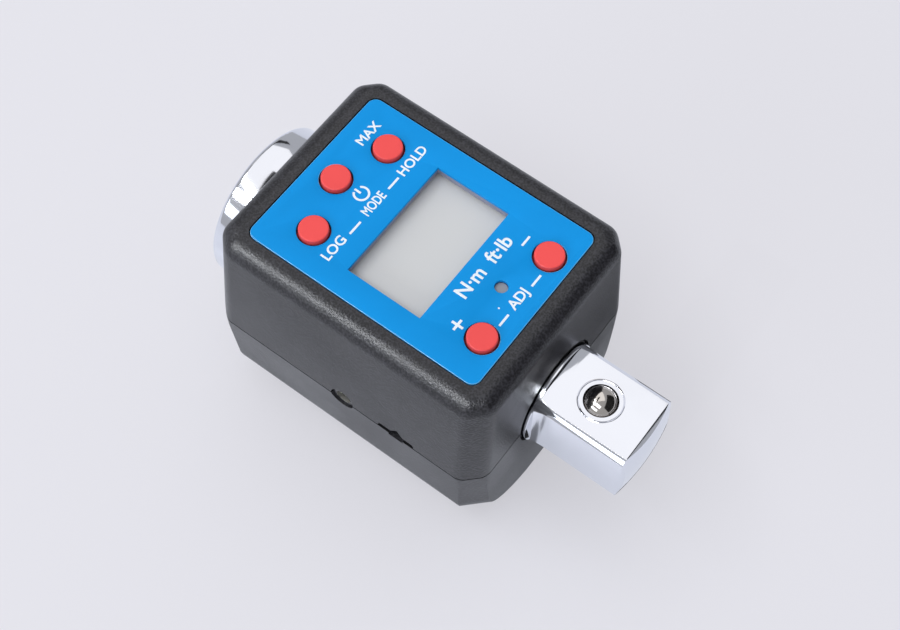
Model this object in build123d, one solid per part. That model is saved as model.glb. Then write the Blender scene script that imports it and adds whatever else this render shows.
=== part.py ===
from build123d import *
import math
import os

# Digital torque adapter: a box housing with a display, carried on a short steel shaft that has a
# female square at one end and a male square with a detent ball at the other.
# Millimetres. X runs along the shaft towards the male square, Y across the display, Z up.
# The origin is on the underside of the lower shell, below the middle of the housing.

# Housing, outside
HOUSING_LENGTH = 49.6
HOUSING_WIDTH = 40.4
AXIS_Z = 20.8
TOP_RISE = 20.2
END_SLOPE = 2.1
SIDE_SLOPE = 5.1
BELLY_SLOPE = 4.4
BELLY_ROUND = 10.0
CORNER_LEG = 2.9
EDGE_ROUND = 2.8
FOOT_ROUND = 0.3
SEAM_HEIGHT = 0.3
SEAM_DEPTH = 0.45
WALL = 2.0
INNER_ROUND = 0.6
TOP_WALL = 0.9

# Clearances
FIT_GAP = 0.1
PANEL_GAP = 0.18
KEY_GAP = 0.3
LAYER_GAP = 0.05
RUN_GAP = 0.02
TOUCH = 0.01

# Drive shaft
DRIVE_SQUARE = 12.7
SOCKET_GAP = 0.2
BOSS_RADIUS = 13.0
BOSS_PROUD = 6.2
BOSS_EDGE = 0.9
SOCKET_DEPTH = 16.4
SOCKET_FLOOR = 3.0
SOCKET_CORNER = 0.3
SOCKET_LEAD = 0.6
SOCKET_STOP = 0.5
DIMPLE_RADIUS = 2.4
DIMPLE_DEPTH = 1.0
GAUGE_RADIUS = 8.0
GAUGE_FLAT = 6.6
GAUGE_FLAT_LENGTH = 18.0
NECK_ROUND = 2.5
COLLAR_RADIUS = 8.4
COLLAR_PROUD = 0.5
COLLAR_SEAT = 8.4
RUNOUT_ROUND = 13.5
RUNOUT_LENGTH = 3.1
MALE_REACH = 16.8
NOSE_DOME = 32.0
NOSE_LEAD = 1.15
SHAFT_HOLE_GAP = 0.45
BOSS_HOLE_GAP = 0.25
SEAL_SECTION = 1.3
SEAL_WIDTH = 1.7

# Detent ball, its hole and its spring
BALL_RADIUS = 2.78
BALL_SINK = 1.2
BALL_FROM_NOSE = 9.2
BALL_HOLE_GAP = 0.06
BALL_HOLE_DEPTH = 10.0
BALL_LIP = 0.35
STAKE_RADIUS = 3.53
STAKE_WIDTH = 0.28
STAKE_DEPTH = 0.16
SPRING_RADIUS = 1.85
SPRING_WIRE = 0.25
SPRING_TURNS = 5

# Face panel and what is under it
PANEL_LENGTH = 40.28
PANEL_SIDE = 5.37
PANEL_THICK = 0.6
PANEL_CORNER = 1.5
PANEL_EDGE = 0.12
WINDOW_X = 1.39
WINDOW_Y = -0.12
WINDOW_LENGTH = 12.74
WINDOW_WIDTH = 21.24
BEZEL_LIP = 0.12
BEZEL_WALL = 0.85
RECESS_DEPTH = 1.75
WINDOW_THICK = 0.5
GLASS_THICK = 1.4
GLASS_MARGIN = 1.6
STRIP_WIDTH = 1.6
LED_X = 13.88
LED_Y = 0.1
LED_RADIUS = 1.0
LENS_FLANGE = 0.6
LENS_SINK = 0.25
LENS_LENGTH = 3.2

# Circuit board
BOARD_DROP = 5.7
BOARD_THICK = 1.2
BOARD_GAP = 1.3
POST_RADIUS = 2.0
POST_INSET = 2.3
CHIP_SIZE = 7.0
CHIP_HEIGHT = 1.1
CHIP_SIDE = 6.0
AMP_SIZE = 4.0
BUZZER_RADIUS = 4.5
BUZZER_HEIGHT = 3.0
BUZZER_X = 12.0
BUZZER_SIDE = 6.2

# Keys: how far their middles lie from the panel's ends and sides, and the sizes that they share
POWER_END = 4.58
PAIR_END = 7.39
PAIR_SIDE = 6.18
SET_END = 3.64
SET_SIDE = 6.73
KEY_RADIUS = 2.23
KEY_PROUD = 0.9
KEY_ROUND = 0.25
KEY_FLANGE = 0.7
KEY_FLANGE_THICK = 0.6
KEY_STEM_RADIUS = 1.5
KEY_STEM = 0.6
KEY_TRAVEL = 0.5
SWITCH_SIZE = 4.5
SWITCH_HEIGHT = 1.5
PLUNGER_RADIUS = 1.0
PLUNGER_SINK = 0.4

# Data jack on the parting plane of the near side
JACK_X = 0.35
JACK_BORE = 1.28
JACK_BARREL = 1.95
JACK_WIDTH = 6.4
JACK_HEIGHT = 5.2
JACK_SINK = 0.45
JACK_FLOOR = 1.0
CRADLE_SHORT = 2.9
RISER_GAP = 0.3
RISER_THICK = 1.0
RISER_WIDTH = 8.0

# Strap notch beside the jack
NOTCH_X = 10.35
NOTCH_RADIUS = 3.25
NOTCH_DEPTH = 0.8
SLOT_LENGTH = 2.6
SLOT_HEIGHT = 1.9

# Ribs, columns and screws
RIB_THICK = 2.0
RIB_STEP = 3.6
COLUMN_RADIUS = 2.6
COLUMN_X = 20.0
COLUMN_Y = 16.2
COLUMN_RISE = 9.0
COLUMN_WALL = 0.7
SCREW_RADIUS = 1.25
SCREW_HEAD_RADIUS = 2.2
SCREW_HEAD = 1.7
SCREW_LENGTH = 12.0
SCREW_SHOULDER = 6.5
DRIVE_SLOT = 0.5
DRIVE_SLOT_DEPTH = 0.7
SMALL_SCREW_RADIUS = 0.8
SMALL_HEAD_RADIUS = 1.6
SMALL_HEAD = 1.0
SMALL_LENGTH = 3.6
PIN_RADIUS = 1.25
PIN_LENGTH = 6.0

# Battery bay
BAY_X = 2.4
DOOR_LENGTH = 28.0
DOOR_WIDTH = 27.6
DOOR_THICK = 1.3
DOOR_GAP = 0.15
DOOR_CORNER = 1.5
DOOR_EAR = 4.4
EAR_WIDTH = 8.0
LEDGE = 1.0
LEDGE_GAP = 0.1
CELL_RADIUS = 12.25
CELL_THICK = 5.0
CELL_UNDER = 3.7
CELL_STEP = 0.35
CELL_CAN = 0.6
TRAY_WALL = 0.9
TRAY_GAP = 0.4
TRAY_HEADROOM = 0.9
CONTACT_THICK = 0.3
CONTACT_WIDTH = 5.0
DOOR_SCREW_RADIUS = 1.0
DOOR_HEAD_RADIUS = 1.75
DOOR_HEAD = 0.8
DOOR_HEAD_SINK = 0.1
DOOR_SCREW_LENGTH = 4.4
LEAD_RADIUS = 0.45
LEAD_BEND = 1.6

# Gauges
FOIL_LENGTH = 6.0
FOIL_WIDTH = 4.0
FOIL_THICK = 0.2
RIBBON_WIDTH = 3.0
RIBBON_THICK = 0.25
RIBBON_FOOT = 5.0

# Worked out from the sizes above
TOP_Z = AXIS_Z + TOP_RISE
HALF_LENGTH = HOUSING_LENGTH / 2
HALF_WIDTH = HOUSING_WIDTH / 2
PANEL_WIDTH = HOUSING_WIDTH - 2 * PANEL_SIDE
SEAT_Z = TOP_Z - PANEL_THICK
ROOF_Z = SEAT_Z - TOP_WALL
BOARD_TOP = TOP_Z - BOARD_DROP
BOARD_UNDER = BOARD_TOP - BOARD_THICK
BOARD_RISE = BOARD_TOP - AXIS_Z
BOARD_LENGTH = HOUSING_LENGTH - 2 * (WALL + BOARD_GAP + BOARD_RISE * math.tan(math.radians(END_SLOPE)))
BOARD_WIDTH = HOUSING_WIDTH - 2 * (WALL + BOARD_GAP + BOARD_RISE * math.tan(math.radians(SIDE_SLOPE)))
RIB_TOP = BOARD_UNDER - SMALL_HEAD - 2 * FIT_GAP
BOSS_END = -HALF_LENGTH - BOSS_PROUD
SOCKET_HALF = (DRIVE_SQUARE + SOCKET_GAP) / 2
SOCKET_END = BOSS_END + SOCKET_DEPTH
BOSS_INNER = SOCKET_END + SOCKET_FLOOR
COLLAR_START = HALF_LENGTH - COLLAR_SEAT
COLLAR_END = HALF_LENGTH + COLLAR_PROUD
NOSE_X = HALF_LENGTH + MALE_REACH
SQUARE_HALF = DRIVE_SQUARE / 2
BALL_X = NOSE_X - BALL_FROM_NOSE
BALL_Z = AXIS_Z + SQUARE_HALF - BALL_SINK
BALL_HOLE_FLOOR = AXIS_Z + SQUARE_HALF - BALL_HOLE_DEPTH
GLASS_TOP = TOP_Z - RECESS_DEPTH - WINDOW_THICK
GLASS_UNDER = GLASS_TOP - GLASS_THICK
KEY_TOP = TOP_Z + KEY_PROUD
KEY_FLANGE_TOP = ROOF_Z - LAYER_GAP
KEY_FLANGE_UNDER = KEY_FLANGE_TOP - KEY_FLANGE_THICK
KEY_FOOT = KEY_FLANGE_UNDER - KEY_STEM
SWITCH_TOP = BOARD_TOP + SWITCH_HEIGHT
CELL_TOP = CELL_UNDER + CELL_THICK
TRAY_CEILING = CELL_TOP + TRAY_HEADROOM
TRAY_TOP = TRAY_CEILING + TRAY_WALL
TRAY_HALF = CELL_RADIUS + TRAY_GAP + TRAY_WALL
JACK_MOUTH = -HALF_WIDTH + JACK_SINK
JACK_FRONT = -HALF_WIDTH + WALL + JACK_HEIGHT / 2 * math.tan(math.radians(SIDE_SLOPE)) + FIT_GAP
JACK_BACK = -(GAUGE_RADIUS + RISER_GAP + RISER_THICK)
GAUGE_X = (BOSS_INNER + COLLAR_START) / 2
SHAFT_AXIS = Axis((0, 0, AXIS_Z), (1, 0, 0))


def block(x0, x1, y0, y1, z0, z1):
    """Box between two corners."""
    centre = ((x0 + x1) / 2, (y0 + y1) / 2, (z0 + z1) / 2)
    return Pos(*centre) * Box(abs(x1 - x0), abs(y1 - y0), abs(z1 - z0))


def rod_x(radius, x0, x1, y=0.0, z=AXIS_Z):
    """Round bar along X."""
    return Pos((x0 + x1) / 2, y, z) * Rot(0, 90, 0) * Cylinder(radius, abs(x1 - x0))


def rod_y(radius, y0, y1, x=0.0, z=AXIS_Z):
    """Round bar along Y."""
    return Pos(x, (y0 + y1) / 2, z) * Rot(90, 0, 0) * Cylinder(radius, abs(y1 - y0))


def rod_z(radius, z0, z1, x=0.0, y=0.0):
    """Round bar along Z."""
    return Pos(x, y, (z0 + z1) / 2) * Cylinder(radius, abs(z1 - z0))


def plate(length, width, corner, z0, z1, x=0.0, y=0.0):
    """Flat plate with rounded corners."""
    outline = RectangleRounded(length, width, corner)
    return Pos(x, y, z0) * extrude(outline, z1 - z0)


def prism_along_x(points, x0, x1):
    """Solid whose section is given as Y, Z points."""
    face = make_face(Polyline(*[(x0, y, z) for y, z in points], close=True))
    return extrude(face, abs(x1 - x0), dir=(1, 0, 0))


def prism_along_y(points, y0, y1):
    """Solid whose section is given as X, Z points."""
    face = make_face(Polyline(*[(x, y0, z) for x, z in points], close=True))
    return extrude(face, abs(y1 - y0), dir=(0, 1, 0))


def slope_in(rise, degrees):
    """How far a sloping wall comes in over a rise."""
    return rise * math.tan(math.radians(degrees))


def corner_leg(inset):
    """Leg of the faceted corner, on the outline that lies inset from the outside."""
    return CORNER_LEG - inset * (2 - math.sqrt(2))


def upper_form(inset, lid):
    """Form of the upper half above the parting plane. lid is how far the top comes down."""
    half_x = HALF_LENGTH - inset
    half_y = HALF_WIDTH - inset
    top = TOP_Z - lid
    rise = top - AXIS_Z
    in_x = half_x - slope_in(rise, END_SLOPE)
    in_y = half_y - slope_in(rise, SIDE_SLOPE)
    side_view = [(-half_x, AXIS_Z), (half_x, AXIS_Z), (in_x, top), (-in_x, top)]
    end_view = [(-half_y, AXIS_Z), (half_y, AXIS_Z), (in_y, top), (-in_y, top)]
    form = prism_along_y(side_view, -half_y, half_y) & prism_along_x(end_view, -half_x, half_x)
    upright = form.edges().filter_by(lambda e: abs((e % 0.5).Z) > 0.5)
    form = chamfer(upright, corner_leg(inset))
    upright = form.edges().filter_by(lambda e: abs((e % 0.5).Z) > 0.5)
    top_loop = form.edges().filter_by(lambda e: e.center().Z > top - TOUCH)
    return fillet(upright + top_loop, max(EDGE_ROUND - inset, INNER_ROUND))


def lower_form(inset, floor, foot=0.0):
    """Form of the lower half: its belly round runs along both sides and across the four corners."""
    half_x = HALF_LENGTH - inset
    half_corner = (HALF_LENGTH + HALF_WIDTH - CORNER_LEG) * math.sqrt(0.5) - inset
    form = belly_trough(HALF_WIDTH - inset, half_x, inset, floor)
    if foot > 0:
        rims = form.edges().filter_by(lambda e: abs(abs(e.center().X) - half_x) < TOUCH)
        form = fillet(rims.filter_by(lambda e: e.center().Z < AXIS_Z - TOUCH), foot)
    across = belly_trough(half_corner, 2 * HALF_LENGTH, inset, floor)
    return form & Rot(0, 0, 45) * across & Rot(0, 0, -45) * across & plan_prism(inset, floor, AXIS_Z)


def belly_trough(half_width, half_length, inset, floor):
    """Long trough along X whose sides lean in and turn under with the belly round."""
    foot_y = half_width - slope_in(AXIS_Z - floor, BELLY_SLOPE)
    section = [(-half_width, AXIS_Z), (half_width, AXIS_Z), (foot_y, floor), (-foot_y, floor)]
    trough = prism_along_x(section, -half_length, half_length)
    long_edges = trough.edges().filter_by(Axis.X).filter_by(lambda e: e.center().Z < floor + TOUCH)
    return fillet(long_edges, BELLY_ROUND - inset)


def plan_prism(inset, z0, z1):
    """Upright prism over the housing's faceted outline at the parting plane."""
    outline = Rectangle(HOUSING_LENGTH - 2 * inset, HOUSING_WIDTH - 2 * inset)
    outline = chamfer(outline.vertices(), corner_leg(inset))
    outline = fillet(outline.vertices(), max(EDGE_ROUND - inset, INNER_ROUND))
    return Pos(0, 0, z0) * extrude(outline, z1 - z0)


def lower_outside():
    """Outside of the lower half, with broken foot edges and the shadow step under the seam."""
    step = AXIS_Z - SEAM_HEIGHT
    rim = plan_prism(-WALL, step, AXIS_Z) - plan_prism(SEAM_DEPTH, step - WALL, AXIS_Z + WALL)
    return lower_form(0, 0, FOOT_ROUND) - rim


def shaft_holes():
    """The two round holes that both shells share."""
    front = rod_x(COLLAR_RADIUS + SHAFT_HOLE_GAP, HALF_LENGTH - 2 * WALL, HALF_LENGTH + WALL)
    rear = rod_x(BOSS_RADIUS + BOSS_HOLE_GAP, -HALF_LENGTH - WALL, -HALF_LENGTH + 2 * WALL)
    return front + rear


def rib_places():
    """X of each shaft rib and the radius of its seat."""
    inner = HALF_LENGTH - WALL - RIB_STEP - RIB_THICK / 2
    return [(-inner, BOSS_RADIUS + FIT_GAP), (inner, COLLAR_RADIUS + FIT_GAP)]


def column_places():
    """X and Y of the four screw columns."""
    return [(sx * COLUMN_X, sy * COLUMN_Y) for sx in (-1, 1) for sy in (-1, 1)]


def post_places():
    """X and Y of the four board posts."""
    x = BOARD_LENGTH / 2 - POST_INSET
    y = BOARD_WIDTH / 2 - POST_INSET
    return [(sx * x, sy * y) for sx in (-1, 1) for sy in (-1, 1)]


def key_places():
    """X and Y of each key, from the ends and sides of the panel."""
    end = PANEL_LENGTH / 2
    side = PANEL_WIDTH / 2
    return {
        "memory": (PAIR_END - end, PAIR_SIDE - side),
        "power": (POWER_END - end, 0.0),
        "peak": (PAIR_END - end, side - PAIR_SIDE),
        "plus": (end - SET_END, SET_SIDE - side),
        "minus": (end - SET_END, side - SET_SIDE),
    }


def jack_cut():
    """Round port through the near wall, on the parting plane."""
    return rod_y(JACK_BARREL + FIT_GAP, -HALF_WIDTH - WALL, -HALF_WIDTH + 2 * WALL, JACK_X)


def notch_cut():
    """Half-round recess above the parting plane, with a strap slot at its foot."""
    recess = rod_y(NOTCH_RADIUS, -HALF_WIDTH - WALL, -HALF_WIDTH + NOTCH_DEPTH, NOTCH_X)
    above = block(NOTCH_X - NOTCH_RADIUS, NOTCH_X + NOTCH_RADIUS, -HALF_WIDTH - 2 * WALL, 0, AXIS_Z, TOP_Z)
    half = SLOT_LENGTH / 2
    slot = block(NOTCH_X - half, NOTCH_X + half, -HALF_WIDTH - WALL, -HALF_WIDTH + 2 * WALL,
                 AXIS_Z - SLOT_HEIGHT / 2, AXIS_Z + SLOT_HEIGHT / 2)
    return (recess & above) + slot


def make_upper_shell():
    """Upper shell: sloping walls, panel seat, key holes, board posts, ribs and columns."""
    outside = upper_form(0, 0)
    cavity = upper_form(WALL, PANEL_THICK + TOP_WALL)
    shell = outside - cavity
    for x, y in post_places():
        shell += rod_z(POST_RADIUS, BOARD_TOP, ROOF_Z + TOP_WALL / 2, x, y)
    for x, radius in rib_places():
        web = block(x - RIB_THICK / 2, x + RIB_THICK / 2, -HALF_WIDTH, HALF_WIDTH, AXIS_Z, RIB_TOP)
        shell += web & cavity
        shell -= rod_x(radius, x - RIB_THICK, x + RIB_THICK)
    for x, y in column_places():
        column = rod_z(COLUMN_RADIUS, AXIS_Z, AXIS_Z + COLUMN_RISE, x, y)
        shell += column & outside
        shell -= rod_z(SCREW_RADIUS + LAYER_GAP, AXIS_Z, AXIS_Z + COLUMN_RISE - WALL / 2, x, y)
    shell -= shaft_holes()
    shell -= plate(PANEL_LENGTH + 2 * PANEL_GAP, PANEL_WIDTH + 2 * PANEL_GAP, PANEL_CORNER + PANEL_GAP,
                   SEAT_Z, TOP_Z + WALL)
    frame_length = WINDOW_LENGTH + 2 * (BEZEL_LIP + BEZEL_WALL + FIT_GAP)
    frame_width = WINDOW_WIDTH + 2 * (BEZEL_LIP + BEZEL_WALL + FIT_GAP)
    shell -= plate(frame_length, frame_width, BEZEL_WALL, ROOF_Z - WALL, TOP_Z, WINDOW_X, WINDOW_Y)
    for x, y in key_places().values():
        shell -= rod_z(KEY_RADIUS + KEY_GAP, ROOF_Z - WALL, TOP_Z, x, y)
    shell -= rod_z(LED_RADIUS + LAYER_GAP, ROOF_Z - WALL, TOP_Z, LED_X, LED_Y)
    for x, y in post_places():
        shell -= rod_z(SMALL_SCREW_RADIUS + LAYER_GAP, BOARD_TOP, BOARD_UNDER + SMALL_LENGTH + FIT_GAP, x, y)
    shell -= jack_cut()
    shell -= notch_cut()
    return shell


def door_outline(gap):
    """Upright prism over the battery door's outline, grown by a gap: a plate with two ears."""
    length = DOOR_LENGTH + 2 * gap
    corner = DOOR_CORNER + gap
    main = plate(length, DOOR_WIDTH + 2 * gap, corner, -WALL, 2 * WALL, BAY_X)
    ears = plate(length + 2 * DOOR_EAR, EAR_WIDTH + 2 * gap, corner, -WALL, 2 * WALL, BAY_X)
    return main + ears


def door_screw_places():
    """X of the two door screws, which stand in the ears."""
    reach = (DOOR_LENGTH + DOOR_EAR) / 2
    return [BAY_X - reach, BAY_X + reach]


def make_lower_shell():
    """Lower shell: trough with ribs, screw columns, door opening and shaft holes."""
    cavity = lower_form(WALL, WALL)
    shell = lower_outside() - cavity
    pin_x = rib_places()[1][0]
    pin_top = AXIS_Z - COLLAR_RADIUS
    pad_top = WALL + DOOR_SCREW_LENGTH - DOOR_HEAD
    for x, radius in rib_places():
        web = block(x - RIB_THICK / 2, x + RIB_THICK / 2, -HALF_WIDTH, HALF_WIDTH, 0, AXIS_Z)
        shell += web & cavity
    shell += rod_z(PIN_RADIUS + RIB_THICK / 2, WALL / 2, pin_top, pin_x)
    for x, radius in rib_places():
        shell -= rod_x(radius, x - 2 * RIB_THICK, x + 2 * RIB_THICK)
    for x in door_screw_places():
        shell += rod_z(DOOR_SCREW_RADIUS + RIB_THICK / 2, WALL / 2, pad_top, x)
    cradle = block(JACK_X - JACK_WIDTH / 4, JACK_X + JACK_WIDTH / 4, -HALF_WIDTH, JACK_BACK - CRADLE_SHORT,
                   TRAY_TOP + LEDGE, AXIS_Z - JACK_HEIGHT / 2)
    shell += cradle & cavity
    for x, y in column_places():
        column = rod_z(SCREW_HEAD_RADIUS + FIT_GAP + COLUMN_WALL, 0, AXIS_Z, x, y)
        shell += column & lower_form(WALL / 2, WALL / 2)
        shell -= rod_z(SCREW_RADIUS + FIT_GAP, 0, AXIS_Z + WALL, x, y)
        shell -= rod_z(SCREW_HEAD_RADIUS + FIT_GAP, -WALL, AXIS_Z - SCREW_SHOULDER, x, y)
    depth = DOOR_THICK + LEDGE_GAP
    shell -= door_outline(DOOR_GAP) - lower_form(depth, depth)
    shell -= plate(DOOR_LENGTH - 2 * LEDGE, DOOR_WIDTH - 2 * LEDGE, DOOR_CORNER, -WALL, 3 * WALL, BAY_X)
    for x in door_screw_places():
        shell -= rod_z(DOOR_SCREW_RADIUS + LAYER_GAP, 0, pad_top - FIT_GAP, x)
    shell -= rod_z(PIN_RADIUS + LAYER_GAP, pin_top - PIN_LENGTH / 2, pin_top + PIN_LENGTH, pin_x)
    shell -= shaft_holes()
    shell -= jack_cut()
    shell -= notch_cut()
    return shell


def turned(x, radius):
    """Point of the shaft's turning profile."""
    return (x, 0, AXIS_Z + radius)


def make_drive_shaft():
    """Shaft in one piece: turned blank, milled flats with a run-out, broached square, ball hole."""
    hub = NOSE_X - NOSE_DOME
    edge_x = hub + math.sqrt(NOSE_DOME ** 2 - COLLAR_RADIUS ** 2)
    half_angle = math.asin(COLLAR_RADIUS / NOSE_DOME) / 2
    nose_mid = turned(hub + NOSE_DOME * math.cos(half_angle), NOSE_DOME * math.sin(half_angle))
    neck_x = BOSS_INNER + NECK_ROUND
    neck_dip = NECK_ROUND * (1 - math.sqrt(0.5))
    neck_top = turned(BOSS_INNER, GAUGE_RADIUS + NECK_ROUND)
    neck_mid = turned(BOSS_INNER + neck_dip, GAUGE_RADIUS + neck_dip)
    neck_foot = turned(neck_x, GAUGE_RADIUS)
    boss = Polyline(turned(NOSE_X, 0), turned(BOSS_END, 0), turned(BOSS_END, BOSS_RADIUS),
                    turned(BOSS_INNER, BOSS_RADIUS), neck_top)
    bar = Polyline(neck_foot, turned(COLLAR_START, GAUGE_RADIUS), turned(COLLAR_START, COLLAR_RADIUS),
                   turned(edge_x, COLLAR_RADIUS))
    neck = ThreePointArc(neck_top, neck_mid, neck_foot)
    nose = ThreePointArc(turned(edge_x, COLLAR_RADIUS), nose_mid, turned(NOSE_X, 0))
    shaft = revolve(make_face(boss.edges() + neck.edges() + bar.edges() + nose.edges()), SHAFT_AXIS)
    rounds = shaft.edges().filter_by(GeomType.CIRCLE)
    shaft = fillet(rounds.filter_by(lambda e: abs(e.center().X - BOSS_END) < TOUCH), BOSS_EDGE)
    shaft = mill_square(shaft)
    shaft = shaft - female_square()
    reach = GAUGE_FLAT_LENGTH / 2
    for turn in range(4):
        flat = block(GAUGE_X - reach, GAUGE_X + reach, -HALF_WIDTH, HALF_WIDTH, AXIS_Z + GAUGE_FLAT,
                     AXIS_Z + HALF_WIDTH)
        shaft -= flat.rotate(SHAFT_AXIS, 90 * turn)
    for x, radius, hole in seal_places():
        groove = rod_x(radius + WALL, x - SEAL_WIDTH / 2, x + SEAL_WIDTH / 2)
        shaft -= groove - rod_x(hole - SEAL_SECTION - RUN_GAP, x - SEAL_WIDTH, x + SEAL_WIDTH)
    shaft -= ball_hole()
    pin_top = AXIS_Z - COLLAR_RADIUS + PIN_LENGTH / 2
    shaft -= rod_z(PIN_RADIUS + LAYER_GAP, 0, pin_top, rib_places()[1][0])
    return shaft


def mill_square(shaft):
    """Mill the four flats of the male square, each with a run-out at the collar and a lead at the nose."""
    run_x = COLLAR_END + RUNOUT_LENGTH
    lead_x = NOSE_X - NOSE_LEAD
    high = SQUARE_HALF + 3 * WALL
    centre = SQUARE_HALF + RUNOUT_ROUND
    half_run = RUNOUT_LENGTH / 2
    run_mid = turned(run_x - half_run, centre - math.sqrt(RUNOUT_ROUND ** 2 - half_run ** 2))
    run_top = turned(COLLAR_END, centre - math.sqrt(RUNOUT_ROUND ** 2 - RUNOUT_LENGTH ** 2))
    arc = ThreePointArc(run_top, run_mid, turned(run_x, SQUARE_HALF))
    rest = Polyline(turned(run_x, SQUARE_HALF), turned(lead_x, SQUARE_HALF),
                    turned(lead_x + 2 * WALL, SQUARE_HALF - 2 * WALL), turned(lead_x + 2 * WALL, high),
                    turned(COLLAR_END, high), run_top)
    cutter = extrude(make_face(arc.edges() + rest.edges()), HALF_WIDTH, dir=(0, 1, 0), both=True)
    for turn in range(4):
        shaft -= cutter.rotate(SHAFT_AXIS, 90 * turn)
    return shaft


def female_square():
    """Square hole with relieved corners, a lead-in and a ball dimple in each side."""
    depth = SOCKET_DEPTH + WALL
    bar = Pos(SOCKET_END - depth / 2, 0, AXIS_Z) * Box(depth, 2 * SOCKET_HALF, 2 * SOCKET_HALF)
    bar = fillet(bar.edges().filter_by(Axis.X), SOCKET_CORNER)
    grow = (SOCKET_HALF + SOCKET_LEAD) / SOCKET_HALF
    mouth = Plane(origin=(BOSS_END, 0, AXIS_Z), x_dir=(0, 1, 0), z_dir=(1, 0, 0))
    wide = mouth * RectangleRounded(2 * SOCKET_HALF * grow, 2 * SOCKET_HALF * grow, SOCKET_CORNER * grow)
    bar += extrude(wide, SOCKET_LEAD, dir=(1, 0, 0), taper=45)
    dimple_x = BOSS_END + SOCKET_DEPTH - (NOSE_X - BALL_X) + SOCKET_STOP
    dimple_z = AXIS_Z + SOCKET_HALF + DIMPLE_DEPTH - DIMPLE_RADIUS
    for turn in range(4):
        dimple = Pos(dimple_x, 0, dimple_z) * Sphere(DIMPLE_RADIUS)
        bar += dimple.rotate(SHAFT_AXIS, 90 * turn)
    return bar


def lip_radius():
    """Radius of the staked lip that keeps the ball in."""
    lip_under = AXIS_Z + SQUARE_HALF - BALL_LIP
    return math.sqrt(BALL_RADIUS ** 2 - (lip_under - BALL_Z) ** 2) + RUN_GAP


def ball_hole():
    """Blind hole with its lip, and the ring that the staking tool leaves round it."""
    flat = AXIS_Z + SQUARE_HALF
    hole = rod_z(BALL_RADIUS + BALL_HOLE_GAP, BALL_HOLE_FLOOR, flat - BALL_LIP, BALL_X)
    hole += rod_z(lip_radius(), flat - WALL, flat + WALL, BALL_X)
    ring = rod_z(STAKE_RADIUS, flat - STAKE_DEPTH, flat + WALL, BALL_X)
    ring -= rod_z(STAKE_RADIUS - STAKE_WIDTH, flat - WALL, flat + 2 * WALL, BALL_X)
    return hole + ring


def seal_places():
    """X, shaft radius and hole radius of each seal ring, in the middle of the end walls."""
    x = HALF_LENGTH - WALL / 2
    front = COLLAR_RADIUS + SHAFT_HOLE_GAP
    rear = BOSS_RADIUS + BOSS_HOLE_GAP
    return [(x, COLLAR_RADIUS, front), (-x, BOSS_RADIUS, rear)]


def make_seal(x, hole):
    """Round rubber ring that fills the gap between the shaft and its hole."""
    minor = SEAL_SECTION / 2 - RUN_GAP
    return Pos(x, 0, AXIS_Z) * Rot(0, 90, 0) * Torus(hole - RUN_GAP - minor, minor)


def make_detent_spring():
    """Round wire spring between the floor of the ball hole and the ball."""
    height = BALL_Z - BALL_RADIUS - BALL_HOLE_FLOOR - 2 * SPRING_WIRE - 2 * LAYER_GAP
    start = (BALL_X, 0, BALL_HOLE_FLOOR + SPRING_WIRE + LAYER_GAP)
    path = Pos(*start) * Helix(height / SPRING_TURNS, height, SPRING_RADIUS)
    section = Plane(origin=path @ 0, z_dir=path % 0) * Circle(SPRING_WIRE)
    return sweep(section, path=path)


def make_face_panel():
    """Coloured plate with its window, key holes and lamp hole."""
    panel = plate(PANEL_LENGTH, PANEL_WIDTH, PANEL_CORNER, SEAT_Z, TOP_Z)
    top_rim = panel.edges().filter_by(lambda e: e.center().Z > TOP_Z - TOUCH)
    panel = fillet(top_rim, PANEL_EDGE)
    panel -= block(WINDOW_X - WINDOW_LENGTH / 2, WINDOW_X + WINDOW_LENGTH / 2, WINDOW_Y - WINDOW_WIDTH / 2,
                   WINDOW_Y + WINDOW_WIDTH / 2, SEAT_Z - WALL, TOP_Z + WALL)
    for x, y in key_places().values():
        panel -= rod_z(KEY_RADIUS + KEY_GAP, SEAT_Z - WALL, TOP_Z + WALL, x, y)
    panel -= rod_z(LED_RADIUS, SEAT_Z - WALL, TOP_Z + WALL, LED_X, LED_Y)
    return panel


def glass_plate(grow, z0, z1):
    """Rectangle of the display cell, grown on every side."""
    half_x = WINDOW_LENGTH / 2 + GLASS_MARGIN + grow
    half_y = WINDOW_WIDTH / 2 + GLASS_MARGIN + grow
    return block(WINDOW_X - half_x, WINDOW_X + half_x, WINDOW_Y - half_y, WINDOW_Y + half_y, z0, z1)


def window_ring(grow, corner, z0, z1):
    """Rectangle of the window opening, grown on every side."""
    length = WINDOW_LENGTH + 2 * grow
    width = WINDOW_WIDTH + 2 * grow
    return plate(length, width, corner, z0, z1, WINDOW_X, WINDOW_Y)


def make_lcd_frame():
    """Dark frame: its upper ring lines the opening, its skirt holds the window and the display."""
    ring = window_ring(BEZEL_LIP + BEZEL_WALL, BEZEL_WALL, ROOF_Z - LAYER_GAP, SEAT_Z)
    skirt = glass_plate(FIT_GAP + BEZEL_WALL, GLASS_UNDER, ROOF_Z - LAYER_GAP)
    frame = ring + skirt
    frame -= window_ring(BEZEL_LIP, BEZEL_LIP, GLASS_UNDER - WALL, SEAT_Z + WALL)
    return frame - glass_plate(FIT_GAP, GLASS_UNDER - WALL, GLASS_TOP + WINDOW_THICK)


def make_lcd_connectors():
    """Two rubber strips that join the display's ends to the board."""
    half_x = WINDOW_LENGTH / 2
    reach = WINDOW_WIDTH / 2 + GLASS_MARGIN - STRIP_WIDTH / 2 - FIT_GAP
    strips = []
    for side in (-1, 1):
        y = WINDOW_Y + side * reach
        strips.append(block(WINDOW_X - half_x, WINDOW_X + half_x, y - STRIP_WIDTH / 2, y + STRIP_WIDTH / 2,
                            BOARD_TOP, GLASS_UNDER))
    return Compound(children=strips)


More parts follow.
